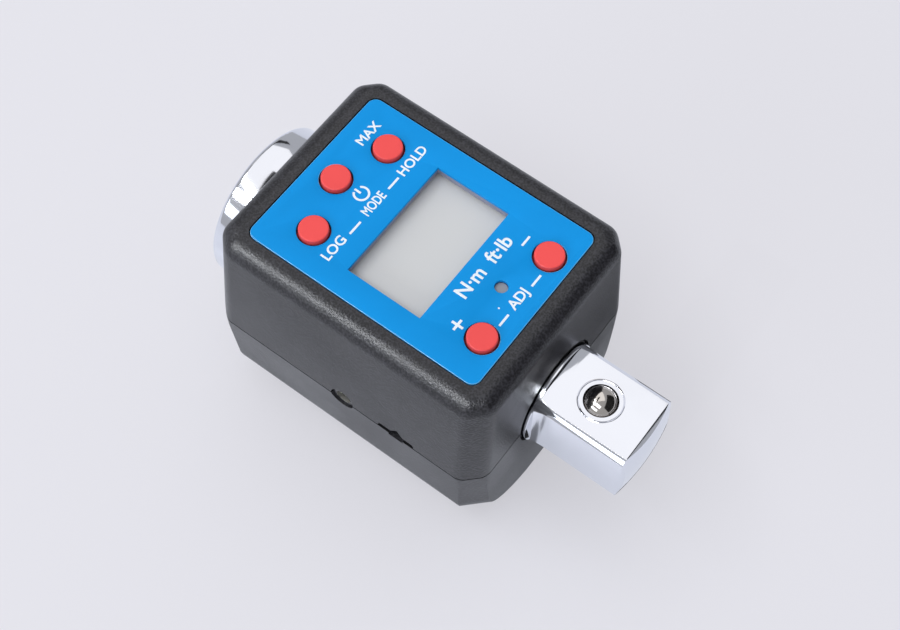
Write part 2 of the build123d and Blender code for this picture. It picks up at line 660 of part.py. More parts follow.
def make_key(x, y):
    """Round cap with a domed rim, a flange that the shell traps and a short stem."""
    cap = rod_z(KEY_RADIUS, KEY_FLANGE_UNDER, KEY_TOP, x, y)
    rim = cap.edges().filter_by(lambda e: e.center().Z > KEY_TOP - TOUCH)
    key = fillet(rim, KEY_ROUND)
    key += rod_z(KEY_RADIUS + KEY_FLANGE, KEY_FLANGE_UNDER, KEY_FLANGE_TOP, x, y)
    return key + rod_z(KEY_STEM_RADIUS, KEY_FOOT, KEY_FLANGE_UNDER, x, y)


def make_switch(x, y):
    """Tact switch base with the well that its plunger runs in."""
    half = SWITCH_SIZE / 2
    base = block(x - half, x + half, y - half, y + half, BOARD_TOP, SWITCH_TOP)
    well = SWITCH_TOP - PLUNGER_SINK - KEY_TRAVEL - FIT_GAP
    return base - rod_z(PLUNGER_RADIUS + FIT_GAP, well, SWITCH_TOP + WALL, x, y)


def make_main_board():
    """Circuit board with its four screw holes."""
    board = plate(BOARD_LENGTH, BOARD_WIDTH, PANEL_CORNER, BOARD_UNDER, BOARD_TOP)
    for x, y in post_places():
        board -= rod_z(SMALL_SCREW_RADIUS + FIT_GAP, BOARD_UNDER - WALL, BOARD_TOP + WALL, x, y)
    return board


def make_chip(size, x, y):
    """Flat chip under the board."""
    half = size / 2
    chip = block(x - half, x + half, y - half, y + half, BOARD_UNDER - CHIP_HEIGHT, BOARD_UNDER)
    return chamfer(chip.edges().filter_by(Axis.Z), CHIP_HEIGHT / 4)


def make_buzzer():
    """Round sounder under the board, with its sound hole."""
    floor = BOARD_UNDER - BUZZER_HEIGHT
    y = BOARD_WIDTH / 2 - BUZZER_SIDE
    can = rod_z(BUZZER_RADIUS, floor, BOARD_UNDER, BUZZER_X, y)
    return can - rod_z(LED_RADIUS / 2, floor - WALL, floor + WALL / 2, BUZZER_X, y)


def make_led_lens():
    """Diffuser rod with a flange under the shell."""
    rod = rod_z(LED_RADIUS - LAYER_GAP, TOP_Z - LENS_LENGTH, TOP_Z - LENS_SINK, LED_X, LED_Y)
    flange_top = ROOF_Z - LAYER_GAP
    return rod + rod_z(LED_RADIUS + LENS_FLANGE, flange_top - LENS_FLANGE, flange_top, LED_X, LED_Y)


def make_led_lamp():
    """Surface lamp on the board, under the diffuser."""
    half = LED_RADIUS * 0.8
    return block(LED_X - half, LED_X + half, LED_Y - half / 2, LED_Y + half / 2, BOARD_TOP, BOARD_TOP + half)


def make_data_jack():
    """Round-port jack: square body behind the wall, barrel in the port, bore for the plug."""
    half = JACK_WIDTH / 2
    body = block(JACK_X - half, JACK_X + half, JACK_FRONT, JACK_BACK, AXIS_Z - JACK_HEIGHT / 2,
                 AXIS_Z + JACK_HEIGHT / 2)
    body += rod_y(JACK_BARREL, JACK_MOUTH, JACK_FRONT + WALL / 2, JACK_X)
    return body - rod_y(JACK_BORE, JACK_MOUTH - WALL, JACK_BACK - JACK_FLOOR, JACK_X)


def make_riser_board():
    """Small upright board that joins the jack to the main board."""
    half = RISER_WIDTH / 2
    return block(JACK_X - half, JACK_X + half, JACK_BACK, JACK_BACK + RISER_THICK, AXIS_Z - JACK_HEIGHT / 2,
                 BOARD_UNDER)


def make_strain_gauges():
    """One foil gauge on each flat of the gauge section."""
    foils = []
    for turn in range(4):
        foil = block(GAUGE_X - FOIL_LENGTH / 2, GAUGE_X + FOIL_LENGTH / 2, -FOIL_WIDTH / 2, FOIL_WIDTH / 2,
                     AXIS_Z + GAUGE_FLAT, AXIS_Z + GAUGE_FLAT + FOIL_THICK)
        foils.append(foil.rotate(SHAFT_AXIS, 90 * turn))
    return Compound(children=foils)


def make_gauge_ribbon():
    """Flat ribbon from the top gauge up to the board."""
    low = AXIS_Z + GAUGE_FLAT + FOIL_THICK
    back = GAUGE_X + FOIL_LENGTH / 2
    front = back - RIBBON_FOOT
    bend = [(front, low), (back, low), (back, BOARD_UNDER), (back - RIBBON_THICK, BOARD_UNDER),
            (back - RIBBON_THICK, low + RIBBON_THICK), (front, low + RIBBON_THICK)]
    return prism_along_y(bend, -RIBBON_WIDTH / 2, RIBBON_WIDTH / 2)


def make_coin_cell():
    """Coin cell: a wide can below, a stepped cap above, with broken rims."""
    can = rod_z(CELL_RADIUS, CELL_UNDER, CELL_TOP - CELL_CAN, BAY_X)
    cell = can + rod_z(CELL_RADIUS - 3 * CELL_STEP, CELL_TOP - CELL_CAN, CELL_TOP, BAY_X)
    rims = cell.edges().filter_by(GeomType.CIRCLE)
    return chamfer(rims, CELL_STEP / 2)


def make_cell_tray():
    """Cup over the cell, shaped to the belly of the lower shell."""
    margin = WALL + LAYER_GAP
    cup = plate(2 * TRAY_HALF, 2 * TRAY_HALF, DOOR_CORNER, 0, TRAY_TOP, BAY_X)
    cup = cup & lower_form(margin, margin)
    inside = TRAY_HALF - TRAY_WALL
    cup -= block(BAY_X - inside, BAY_X + inside, -inside, inside, -WALL, TRAY_CEILING)
    for x in contact_places():
        cup -= block(x - CONTACT_THICK, x + CONTACT_THICK * 2, -CONTACT_WIDTH / 2 - FIT_GAP,
                     CONTACT_WIDTH / 2 + FIT_GAP, TRAY_CEILING - WALL, TRAY_TOP + WALL)
    return cup


def contact_places():
    """X of the minus tab and of the plus tab, where they come up through the tray."""
    return [BAY_X - CELL_RADIUS / 2, BAY_X + CELL_RADIUS + RUN_GAP]


def make_contact_minus():
    """Spring strip on the ceiling of the tray that presses on the cell, with a tab through it."""
    tab_x = contact_places()[0]
    high = TRAY_CEILING
    low = TRAY_CEILING - CONTACT_THICK
    far = BAY_X + CELL_RADIUS / 2
    tip = CELL_TOP + RUN_GAP
    strip = [(tab_x, TRAY_TOP + CONTACT_WIDTH / 4), (tab_x, low), (BAY_X - CONTACT_THICK, tip),
             (BAY_X + CONTACT_THICK, tip), (far, low), (far, high),
             (BAY_X + CONTACT_THICK, tip + CONTACT_THICK), (BAY_X - CONTACT_THICK, tip + CONTACT_THICK),
             (tab_x + CONTACT_THICK, high), (tab_x + CONTACT_THICK, TRAY_TOP + CONTACT_WIDTH / 4)]
    return prism_along_y(strip, -CONTACT_WIDTH / 2, CONTACT_WIDTH / 2)


def make_contact_plus():
    """Upright strip against the side of the can, with a tab through the tray."""
    x = contact_places()[1]
    return block(x, x + CONTACT_THICK, -CONTACT_WIDTH / 2, CONTACT_WIDTH / 2, CELL_UNDER + CELL_THICK / 4,
                 TRAY_TOP + CONTACT_WIDTH / 4)


def make_cell_wires():
    """Two leads from the contact tabs, round the shaft and up to the board."""
    leads = []
    level = TRAY_TOP + LEAD_RADIUS + LAYER_GAP
    side = BOARD_WIDTH / 2 - 2 * LEAD_RADIUS
    for x in contact_places():
        route = FilletPolyline((x, CONTACT_WIDTH / 2, level), (x, side, level), (x, side, BOARD_UNDER),
                               radius=LEAD_BEND)
        start = Plane(origin=route @ 0, z_dir=route % 0)
        leads.append(sweep(start * Circle(LEAD_RADIUS), path=route))
    return Compound(children=leads)


def make_screw(head_radius, head, radius, length):
    """Screw with its head below the origin and its shank above it, and a cross recess."""
    screw = rod_z(head_radius, -head, 0) + rod_z(radius, 0, length)
    reach = head_radius * 0.6
    arm = DRIVE_SLOT / 2
    depth = head * DRIVE_SLOT_DEPTH
    screw -= block(-reach, reach, -arm, arm, -head - WALL, depth - head)
    return screw - block(-arm, arm, -reach, reach, -head - WALL, depth - head)


def make_case_screws():
    """Four screws that pull the two shells together from below."""
    screw = make_screw(SCREW_HEAD_RADIUS, SCREW_HEAD, SCREW_RADIUS, SCREW_LENGTH)
    z = AXIS_Z - SCREW_SHOULDER
    return Compound(children=[Pos(x, y, z) * screw for x, y in column_places()])


def make_board_screws():
    """Four screws that hold the board up against its posts."""
    screw = make_screw(SMALL_HEAD_RADIUS, SMALL_HEAD, SMALL_SCREW_RADIUS, SMALL_LENGTH)
    return Compound(children=[Pos(x, y, BOARD_UNDER) * screw for x, y in post_places()])


def make_door_screws():
    """Two short screws in the ears of the battery door."""
    screw = make_screw(DOOR_HEAD_RADIUS, DOOR_HEAD, DOOR_SCREW_RADIUS, DOOR_SCREW_LENGTH - DOOR_HEAD)
    z = DOOR_HEAD + DOOR_HEAD_SINK
    return Compound(children=[Pos(x, 0, z) * screw for x in door_screw_places()])


def make_battery_door():
    """Door that carries on the belly of the lower shell: ribs for the cell, two counterbored ears."""
    door = (door_outline(0) & lower_form(0, 0)) - lower_form(DOOR_THICK, DOOR_THICK)
    for side in (-1, 1):
        y = side * CELL_RADIUS / 3
        door += block(BAY_X - CELL_RADIUS / 2, BAY_X + CELL_RADIUS / 2, y - LEDGE / 2, y + LEDGE / 2,
                      DOOR_THICK / 2, CELL_UNDER - RUN_GAP)
    for x in door_screw_places():
        door -= rod_z(DOOR_SCREW_RADIUS + LAYER_GAP, -WALL, WALL, x)
        door -= rod_z(DOOR_HEAD_RADIUS + FIT_GAP, -WALL, DOOR_HEAD + DOOR_HEAD_SINK, x)
    return door


def make_nodes():
    """Every sub-part by its node name."""
    front, rear = seal_places()
    nodes = {
        "upper_shell": make_upper_shell(),
        "lower_shell": make_lower_shell(),
        "drive_shaft": make_drive_shaft(),
        "front_seal": make_seal(front[0], front[2]),
        "rear_seal": make_seal(rear[0], rear[2]),
        "detent_ball": Pos(BALL_X, 0, BALL_Z) * Sphere(BALL_RADIUS),
        "detent_spring": make_detent_spring(),
        "face_panel": make_face_panel(),
        "display_window": glass_plate(0, GLASS_TOP, GLASS_TOP + WINDOW_THICK),
        "lcd_glass": glass_plate(0, GLASS_UNDER, GLASS_TOP),
        "lcd_frame": make_lcd_frame(),
        "lcd_connectors": make_lcd_connectors(),
        "main_board": make_main_board(),
        "controller_chip": make_chip(CHIP_SIZE, -WINDOW_LENGTH, BOARD_WIDTH / 2 - CHIP_SIDE),
        "amplifier_chip": make_chip(AMP_SIZE, WINDOW_LENGTH, -BOARD_WIDTH / 4),
        "buzzer": make_buzzer(),
        "led_lens": make_led_lens(),
        "led_lamp": make_led_lamp(),
        "data_jack": make_data_jack(),
        "riser_board": make_riser_board(),
        "strain_gauges": make_strain_gauges(),
        "gauge_ribbon": make_gauge_ribbon(),
        "coin_cell": make_coin_cell(),
        "cell_tray": make_cell_tray(),
        "cell_contact_minus": make_contact_minus(),
        "cell_contact_plus": make_contact_plus(),
        "cell_wires": make_cell_wires(),
        "case_screws": make_case_screws(),
        "board_screws": make_board_screws(),
        "battery_door": make_battery_door(),
        "door_screws": make_door_screws(),
    }
    rib_x = rib_places()[1][0]
    middle = AXIS_Z - COLLAR_RADIUS
    reach = PIN_LENGTH / 2 - LAYER_GAP
    nodes["shaft_pin"] = rod_z(PIN_RADIUS, middle - reach, middle + reach, rib_x)
    for name, (x, y) in key_places().items():
        nodes["key_" + name] = make_key(x, y)
        nodes["switch_" + name] = make_switch(x, y)
        nodes["plunger_" + name] = rod_z(PLUNGER_RADIUS, SWITCH_TOP - PLUNGER_SINK, KEY_FOOT, x, y)
    return nodes


os.makedirs("parts", exist_ok=True)
for node, shape in make_nodes().items():
    export_step(shape, "parts/" + node + ".step")
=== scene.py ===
import math
import bmesh
import bpy
from mathutils import Matrix, Vector


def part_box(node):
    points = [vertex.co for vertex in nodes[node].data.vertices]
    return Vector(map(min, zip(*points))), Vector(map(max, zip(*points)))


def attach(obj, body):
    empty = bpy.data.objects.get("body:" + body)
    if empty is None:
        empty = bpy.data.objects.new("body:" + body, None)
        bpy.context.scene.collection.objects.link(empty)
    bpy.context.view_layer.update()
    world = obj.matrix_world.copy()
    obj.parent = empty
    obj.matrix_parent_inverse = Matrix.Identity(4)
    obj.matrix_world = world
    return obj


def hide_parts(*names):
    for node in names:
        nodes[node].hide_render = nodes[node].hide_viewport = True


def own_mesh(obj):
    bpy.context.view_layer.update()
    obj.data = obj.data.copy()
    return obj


bl_info = {
    "name": "Torque adapter dressing",
    "version": (1, 0, 0),
    "blender": (4, 5, 0),
    "location": "3D View > Sidebar > Torque adapter",
    "description": "Finishes, legends and studio for a digital torque adapter",
    "category": "Object",
}

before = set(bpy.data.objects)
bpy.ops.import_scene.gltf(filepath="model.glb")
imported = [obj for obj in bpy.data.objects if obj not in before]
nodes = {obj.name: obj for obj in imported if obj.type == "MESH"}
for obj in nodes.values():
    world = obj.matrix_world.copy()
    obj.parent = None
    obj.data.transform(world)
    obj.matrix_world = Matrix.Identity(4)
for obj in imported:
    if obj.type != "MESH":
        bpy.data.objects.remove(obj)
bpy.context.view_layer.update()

# Places on the face panel, in millimetres: X along the shaft, Y across. Letters read along +Y.
# A line of words has its place, the height of its capitals and a share by which it is narrowed.
LINES = [
    ("MAX", -16.75, 9.0, 1.55, 1.0),
    ("LOG", -8.7, -9.15, 1.6, 1.0),
    ("MODE", -8.7, 0.0, 1.55, 0.74),
    ("HOLD", -8.7, 9.15, 1.55, 1.0),
    ("ADJ", 17.1, 0.0, 1.6, 1.0),
    ("N·m  ft·lb", 10.0, 1.2, 2.2, 1.0),
]
DASHES = [
    (-8.3, -4.75, 2.5),
    (-8.5, 4.45, 2.4),
    (17.25, 3.8, 2.2),
    (17.27, -4.0, 2.2),
    (12.35, 8.15, 1.9),
]
PLUS_PLACE = (12.56, -8.47, 1.9)
POWER_PLACE = (-11.13, 0.29, 1.1)
DOT_PLACE = (15.6, -2.9, 0.25)

# All lengths from here to the depths of the bumps are in millimetres.
# Height of the line where the shells part, how far from it the groove's faces lie, and the lean of the walls
# above it in degrees.
PARTING = 20.8
GROOVE_REACH = 0.4
WALL_SLOPE = 5.1

# Slack with which a place is compared, and the reach within which loose corners are joined.
SLACK = 0.05
MERGE_REACH = 0.002

# Creases of the lower shell that are rounded: their least length, their least turn in degrees, and how far
# below the parting line they lie at least.
CREASE_LENGTH = 3.0
CREASE_TURN = 12
CREASE_MARGIN = 0.1

# Strap notch on the near wall: its half-round, the shallow arch that is left open in it and the slot at its
# foot. The arch and the slot are cut from a pad, which starts a little above the parting line.
NOTCH_X = 10.35
NOTCH_RADIUS = 3.25
NOTCH_DEPTH = 0.8
PAD_FOOT = 0.3
ARCH_RISE = 1.7
ARCH_DEPTH = 0.16
SLOT_RADIUS = 1.15

# How far in from the panel's ends and sides its cut edge can lie.
CUT_REACH = 3.5

# Height of a capital in the built-in font, as a share of the text's size.
CAPITAL = 0.729

# Power sign: half of the turn that its ring takes, in degrees, and the place and length of its stroke as
# shares of the ring's radius.
RING_HALF = 146
STROKE_PLACE = 0.62
STROKE_LENGTH = 1.05

# Round keys: the flange and stem below the cap, and the rings of its dish, each with its share of the dish's
# depth.
KEY_NAMES = ("memory", "power", "peak", "plus", "minus")
KEY_FLANGE = 0.7
FLANGE_TOP = 1.2
FLANGE_THICK = 0.6
KEY_STEM = 1.5
DISH_RIM = 0.35
DISH_STEPS = ((0.35, 0.55), (0.4, 0.85), (0.4, 1.0))

# How far the face of the lamp's lens lies below the solid's.
LENS_SINK = 0.35

# Drive shaft: the ring that the staking tool leaves on the top flat, with the depths between which its floor
# lies, the ground that stays sharp round the ball and below it, the least turn of the edges that are broken,
# in degrees, and the length of the nose.
STAKE_INNER = 3.25
STAKE_OUTER = 3.53
STAKE_SHALLOW = 0.1
STAKE_DEEP = 0.3
SHARP_REACH = 4.2
SHARP_DEPTH = 4.0
SHARP_TURN = 30
NOSE_LENGTH = 1.8

# How far from the jack's axis the wall of its bore lies at most.
BORE_REACH = 1.35

# Depth of a bump at full strength, in metres: moulded grain, faint texture, display film, waviness of metal.
GRAIN_DEPTH = 0.00004
TEXTURE_DEPTH = 0.00003
FILM_DEPTH = 0.00002
WAVE_DEPTH = 0.001

# Camera, fitted to the photograph: its place in metres, its right and up, and its lens.
CAMERA_PLACE = (0.071968, -0.094868, 0.24553)
CAMERA_RIGHT = (0.8023, 0.5967, 0.0140)
CAMERA_UP = (-0.5347, 0.7081, 0.4612)
CAMERA_LENS = 66.52

# Lamps: name, place, aim, size, power and colour, in metres and watts.
LAMPS = [
    ("Overhead lamp", (-0.55, 0.30, 1.1), (-0.45, 0.2, 0.0), (1.35, 1.5), 4.6, (1.0, 0.99, 0.97)),
    ("Strip lamp", (-0.32, -0.53, 1.03), (0.0, 0.0, 0.03), (1.3, 0.16), 4.8, (0.94, 0.97, 1.0)),
    ("Near lamp", (-0.35, -1.1, 0.5), (0.0, 0.0, 0.02), (1.4, 0.3), 4.0, (0.86, 0.93, 1.0)),
]

# Dark cards that give the steel its lines: name, place, aim and size, in metres.
SCREENS = [
    ("Screen right", (1.0, 0.5, 0.66), (0.0, 0.0, 0.03), (2.4, 1.35)),
    ("Screen low", (0.035, 0.024, 0.0004), (0.035, 0.024, 1.0), (0.012, 0.056)),
    ("Screen left", (-0.85, 0.3, 0.8), (0.0, 0.3, 0.03), (2.6, 0.16)),
    ("Screen above", (-0.070, -0.156, 0.327), (-0.070, -0.156, 0.0), (0.05, 0.44)),
]

# Metals of the pieces that keep their solids: nodes, name, colour, roughness, waviness and its scale.
METALS = [
    (("case_screws", "board_screws", "door_screws"), "Zinc plated screw", (0.33, 0.33, 0.34, 1.0),
     0.32, 0.05, 600.0),
    (("shaft_pin",), "Ground pin", (0.5, 0.5, 0.51, 1.0), 0.3, 0.03, 500.0),
    (("cell_contact_minus", "cell_contact_plus"), "Nickel strip", (0.62, 0.60, 0.55, 1.0), 0.25, 0.03, 500.0),
    (("coin_cell",), "Cell can", (0.66, 0.66, 0.66, 1.0), 0.22, 0.03, 250.0),
    (("strain_gauges",), "Gauge foil", (0.65, 0.38, 0.20, 1.0), 0.35, 0.05, 700.0),
]

# Plastics and rubbers of the pieces that keep their solids: nodes, name, colour, roughness, grain's scale and
# strength.
PLASTICS = [
    (("front_seal", "rear_seal"), "Seal rubber", (0.012, 0.012, 0.012, 1.0), 0.6, 3000.0, 0.3),
    (("gauge_ribbon",), "Amber film", (0.30, 0.12, 0.02, 1.0), 0.3, 1500.0, 0.08),
    (("main_board", "riser_board"), "Green board", (0.012, 0.09, 0.035, 1.0), 0.35, 900.0, 0.2),
    (("controller_chip", "amplifier_chip", "buzzer"), "Moulded package", (0.012, 0.012, 0.013, 1.0),
     0.5, 3000.0, 0.2),
    (("led_lamp",), "Lamp resin", (0.75, 0.70, 0.50, 1.0), 0.25, 1500.0, 0.08),
    (("lcd_connectors",), "Strip rubber", (0.20, 0.09, 0.10, 1.0), 0.6, 1500.0, 0.08),
    (("cell_tray",), "Natural plastic", (0.55, 0.54, 0.50, 1.0), 0.45, 1500.0, 0.08),
    (("cell_wires",), "Wire sleeve", (0.30, 0.02, 0.02, 1.0), 0.4, 1500.0, 0.08),
    (["switch_" + name for name in KEY_NAMES], "Switch base", (0.02, 0.02, 0.022, 1.0), 0.45, 1500.0, 0.08),
    (["plunger_" + name for name in KEY_NAMES], "Plunger", (0.55, 0.52, 0.46, 1.0), 0.4, 1500.0, 0.08),
]


def mm(value):
    """Metres from millimetres."""
    return value / 1000.0


def linear(red, green, blue):
    """Linear colour, with alpha, from the red, green and blue that a screen shows, 0 to 255."""
    parts = []
    for value in (red, green, blue):
        share = value / 255.0
        parts.append(share / 12.92 if share <= 0.04045 else ((share + 0.055) / 1.055) ** 2.4)
    return (parts[0], parts[1], parts[2], 1.0)


def metres(name, description, default):
    """Length that can be changed, in metres."""
    return bpy.props.FloatProperty(name=name, description=description, default=default, unit="LENGTH")


def tone(name, description, default):
    """Colour that can be changed, with its alpha."""
    return bpy.props.FloatVectorProperty(name=name, description=description, subtype="COLOR", size=4,
                                         default=default, min=0.0, max=1.0)


class AdapterSizes(bpy.types.PropertyGroup):
    """Sizes of the dressing that can be changed"""

    ink_rise: metres("Ink height", "How far the printed marks stand out of the panel", 0.00002)
    ink_weight: bpy.props.FloatProperty(
        name="Letter weight", description="How much the letters are thickened, as a share of their size",
        default=0.022, min=0.0, max=0.05)
    dash_width: metres("Dash width", "Width of the printed dashes and signs", 0.00034)
    belly_round: metres("Belly rounding", "How far the creases of the lower shell are rounded off", 0.0009)
    steel_edge: metres("Steel edge", "Rounding of the drive shaft's sharp edges", 0.00012)
    key_round: metres("Key rim", "Rounding of the rim of each key", 0.00022)
    key_sink: metres("Key sink", "How far the caps lie below the tops of the key solids", 0.00025)
    panel_edge: metres("Panel edge", "Rounding of the face panel's cut edge", 0.00014)
    key_crown: metres("Key dish", "How far the middle of a key lies below its rim", 0.00001)
    grain: bpy.props.FloatProperty(
        name="Grain", description="Strength of the moulded grain",
        default=1.0, min=0.0, max=1.0)


class AdapterColours(bpy.types.PropertyGroup):
    """Colours that can be changed"""

    housing: tone("Housing", "Moulded shells", (0.021, 0.0205, 0.0245, 1.0))
    panel: tone("Panel", "Face panel", linear(12, 147, 222))
    ink: tone("Ink", "Printed marks", linear(238, 244, 248))
    keys: tone("Keys", "Round keys", linear(243, 84, 83))
    display: tone("Display", "Display film with all segments off", linear(210, 209, 208))
    plating: tone("Plating", "Plated steel", (0.74, 0.75, 0.80, 1.0))
    sheet: tone("Sheet", "Sheet under the adapter", linear(228, 227, 233))


def alone(piece):
    """Deselect everything, then select one piece and make it active."""
    bpy.ops.object.select_all(action="DESELECT")
    piece.select_set(True)
    bpy.context.view_layer.objects.active = piece
    return piece


def take(name):
    """Name the object that an operator has just made, and select it alone."""
    piece = bpy.context.object
    piece.name = name
    piece.data.name = name
    return alone(piece)


def settle(piece):
    """Put the place, turn and size of a piece into its mesh."""
    alone(piece)
    bpy.ops.object.transform_apply(location=True, rotation=True, scale=True)
    return piece


def pick(piece, kind, test):
    """In edit mode, select only the parts of a kind, FACE or EDGE, that pass a test."""
    bpy.ops.mesh.select_mode(type=kind)
    bpy.ops.mesh.select_all(action="DESELECT")
    form = bmesh.from_edit_mesh(piece.data)
    parts = form.faces if kind == "FACE" else form.edges
    for part in parts:
        if test(part):
            part.select_set(True)
    form.select_flush_mode()
    bmesh.update_edit_mesh(piece.data)


def smooth(piece, degrees):
    """Shade smooth over all edges that turn less than an angle."""
    alone(piece)
    bpy.ops.object.shade_smooth_by_angle(angle=math.radians(degrees))
    return piece


def bevel(piece, width, segments, degrees):
    """Round the edges that turn more than an angle."""
    alone(piece)
    rounding = piece.modifiers.new("Broken edge", "BEVEL")
    rounding.width = width
    rounding.segments = segments
    rounding.limit_method = "ANGLE"
    rounding.angle_limit = math.radians(degrees)
    rounding.miter_outer = "MITER_ARC"
    rounding.harden_normals = False
    bpy.ops.object.modifier_apply(modifier=rounding.name)


def break_edges(piece, width, segments, test):
    """Round only the edges that pass a test."""
    alone(piece)
    bpy.ops.object.mode_set(mode="EDIT")
    pick(piece, "EDGE", test)
    bpy.ops.mesh.bevel(offset=width, segments=segments, clamp_overlap=True)
    bpy.ops.object.mode_set(mode="OBJECT")


def merged_copy(node, name):
    """Copy of a solid's mesh as a piece of its own, with its loose triangles joined."""
    piece = bpy.data.objects.new(name, nodes[node].data.copy())
    piece.data.name = name
    piece.data.materials.clear()
    bpy.context.scene.collection.objects.link(piece)
    alone(piece)
    if piece.data.has_custom_normals:
        bpy.ops.mesh.customdata_custom_splitnormals_clear()
    bpy.ops.object.mode_set(mode="EDIT")
    bpy.ops.mesh.select_all(action="SELECT")
    bpy.ops.mesh.remove_doubles(threshold=mm(MERGE_REACH))
    bpy.ops.mesh.dissolve_limited(angle_limit=math.radians(0.2), delimit={"NORMAL"})
    bpy.ops.object.mode_set(mode="OBJECT")
    return piece


def finish_piece(piece, body, material, stands_for=()):
    """Give a piece its body, slot and material, and the solids that it stands for."""
    piece.data.materials.clear()
    piece.data.materials.append(material)
    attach(piece, body)
    if stands_for:
        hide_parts(*stands_for)


def second_finish(piece, material, test):
    """Give the faces of a finished piece that pass a test a second material."""
    piece.data.materials.append(material)
    place = len(piece.data.materials) - 1
    for face in piece.data.polygons:
        if test(face):
            face.material_index = place


def paint(node, material):
    """Give a solid its material."""
    mesh = nodes[node].data
    if mesh.materials:
        for place in range(len(mesh.materials)):
            mesh.materials[place] = material
    else:
        mesh.materials.append(material)


def new_group(name, inputs, outputs):
    """Empty shader node group with number inputs and the named outputs."""
    group = bpy.data.node_groups.new(name, "ShaderNodeTree")
    for label, default in inputs:
        socket = group.interface.new_socket(label, in_out="INPUT", socket_type="NodeSocketFloat")
        socket.default_value = default
    for label, kind in outputs:
        group.interface.new_socket(label, in_out="OUTPUT", socket_type=kind)
    start = group.nodes.new("NodeGroupInput")
    end = group.nodes.new("NodeGroupOutput")
    return group, start, end


def place_noise(tree, scale, detail, roughness):
    """Noise on Object coordinates."""
    where = tree.nodes.new("ShaderNodeTexCoord")
    noise = tree.nodes.new("ShaderNodeTexNoise")
    noise.inputs["Scale"].default_value = scale
    noise.inputs["Detail"].default_value = detail
    noise.inputs["Roughness"].default_value = roughness
    tree.links.new(where.outputs["Object"], noise.inputs["Vector"])
    return noise


def place_range(tree, source, low, high, to_low, to_high):
    """Map Range from a source socket."""
    spread = tree.nodes.new("ShaderNodeMapRange")
    spread.inputs["From Min"].default_value = low
    spread.inputs["From Max"].default_value = high
    spread.inputs["To Min"].default_value = to_low
    spread.inputs["To Max"].default_value = to_high
    tree.links.new(source, spread.inputs["Value"])
    return spread


def place_sum(tree, source, share, other):
    """A source socket times a share, plus another socket."""
    node = tree.nodes.new("ShaderNodeMath")
    node.operation = "MULTIPLY_ADD"
    node.inputs[1].default_value = share
    tree.links.new(source, node.inputs[0])
    tree.links.new(other, node.inputs[2])
    return node.outputs["Value"]


def place_larger(tree, first, second):
    """The larger of two sockets."""
    node = tree.nodes.new("ShaderNodeMath")
    node.operation = "MAXIMUM"
    tree.links.new(first, node.inputs[0])
    tree.links.new(second, node.inputs[1])
    return node.outputs["Value"]


def blend_ends(tree, factor, first, second):
    """Mix two shader sockets by a factor socket."""
    mix = tree.nodes.new("ShaderNodeMixShader")
    tree.links.new(factor, mix.inputs["Fac"])
    tree.links.new(first, mix.inputs[1])
    tree.links.new(second, mix.inputs[2])
    return mix.outputs["Shader"]


def group_noise(group, where, scale, detail):
    """Noise in a group, at the scale that a socket gives."""
    noise = group.nodes.new("ShaderNodeTexNoise")
    noise.inputs["Detail"].default_value = detail
    group.links.new(where, noise.inputs["Vector"])
    group.links.new(scale, noise.inputs["Scale"])
    return noise


def grain_group():
    """Fine moulded grain: rounded pits and a little noise, as a height and a mask of its peaks."""
    group, start, end = new_group("Moulded grain", [("Scale", 3000.0), ("Soft scale", 400.0)],
                                  [("Height", "NodeSocketFloat"), ("Peaks", "NodeSocketFloat")])
    where = group.nodes.new("ShaderNodeTexCoord").outputs["Object"]
    cells = group.nodes.new("ShaderNodeTexVoronoi")
    cells.feature = "SMOOTH_F1"
    cells.inputs["Smoothness"].default_value = 0.6
    group.links.new(where, cells.inputs["Vector"])
    group.links.new(start.outputs["Scale"], cells.inputs["Scale"])
    fine = group_noise(group, where, start.outputs["Scale"], 3.0)
    soft = group_noise(group, where, start.outputs["Soft scale"], 2.0)
    both = place_sum(group, fine.outputs["Fac"], 0.5, cells.outputs["Distance"])
    total = place_sum(group, soft.outputs["Fac"], 0.25, both)
    group.links.new(total, end.inputs["Height"])
    peaks = place_range(group, total, 0.7, 1.1, 0.0, 1.0)
    group.links.new(peaks.outputs["Result"], end.inputs["Peaks"])
    return group


def handling_group():
    """Marks of handling: slow smudges, as a mask."""
    group, start, end = new_group("Handling", [("Smudge scale", 60.0)], [("Smudge", "NodeSocketFloat")])
    where = group.nodes.new("ShaderNodeTexCoord").outputs["Object"]
    slow = group_noise(group, where, start.outputs["Smudge scale"], 4.0)
    slow.inputs["Distortion"].default_value = 0.6
    smudge = place_range(group, slow.outputs["Fac"], 0.38, 0.68, 0.0, 1.0)
    group.links.new(smudge.outputs["Result"], end.inputs["Smudge"])
    return group


def shared(name, maker):
    """A node group by name, made on first use."""
    group = bpy.data.node_groups.get(name)
    return group if group else maker()


def new_material(name, colour, roughness, metallic=0.0):
    """Material with a Principled shader at plain values. Gives the material, its tree and the shader."""
    material = bpy.data.materials.new(name)
    material.use_nodes = True
    tree = material.node_tree
    shader = tree.nodes["Principled BSDF"]
    shader.inputs["Base Color"].default_value = colour
    shader.inputs["Roughness"].default_value = roughness
    shader.inputs["Metallic"].default_value = metallic
    return material, tree, shader


def add_group(tree, group, **values):
    """Place a node group in a material's tree with its own values."""
    node = tree.nodes.new("ShaderNodeGroup")
    node.node_tree = group
    for label, value in values.items():
        node.inputs[label].default_value = value
    return node


def add_bump(tree, shader, height, strength, distance):
    """Bump from a height socket into the shader's normal."""
    bump = tree.nodes.new("ShaderNodeBump")
    bump.inputs["Strength"].default_value = strength
    bump.inputs["Distance"].default_value = distance
    tree.links.new(height, bump.inputs["Height"])
    tree.links.new(bump.outputs["Normal"], shader.inputs["Normal"])


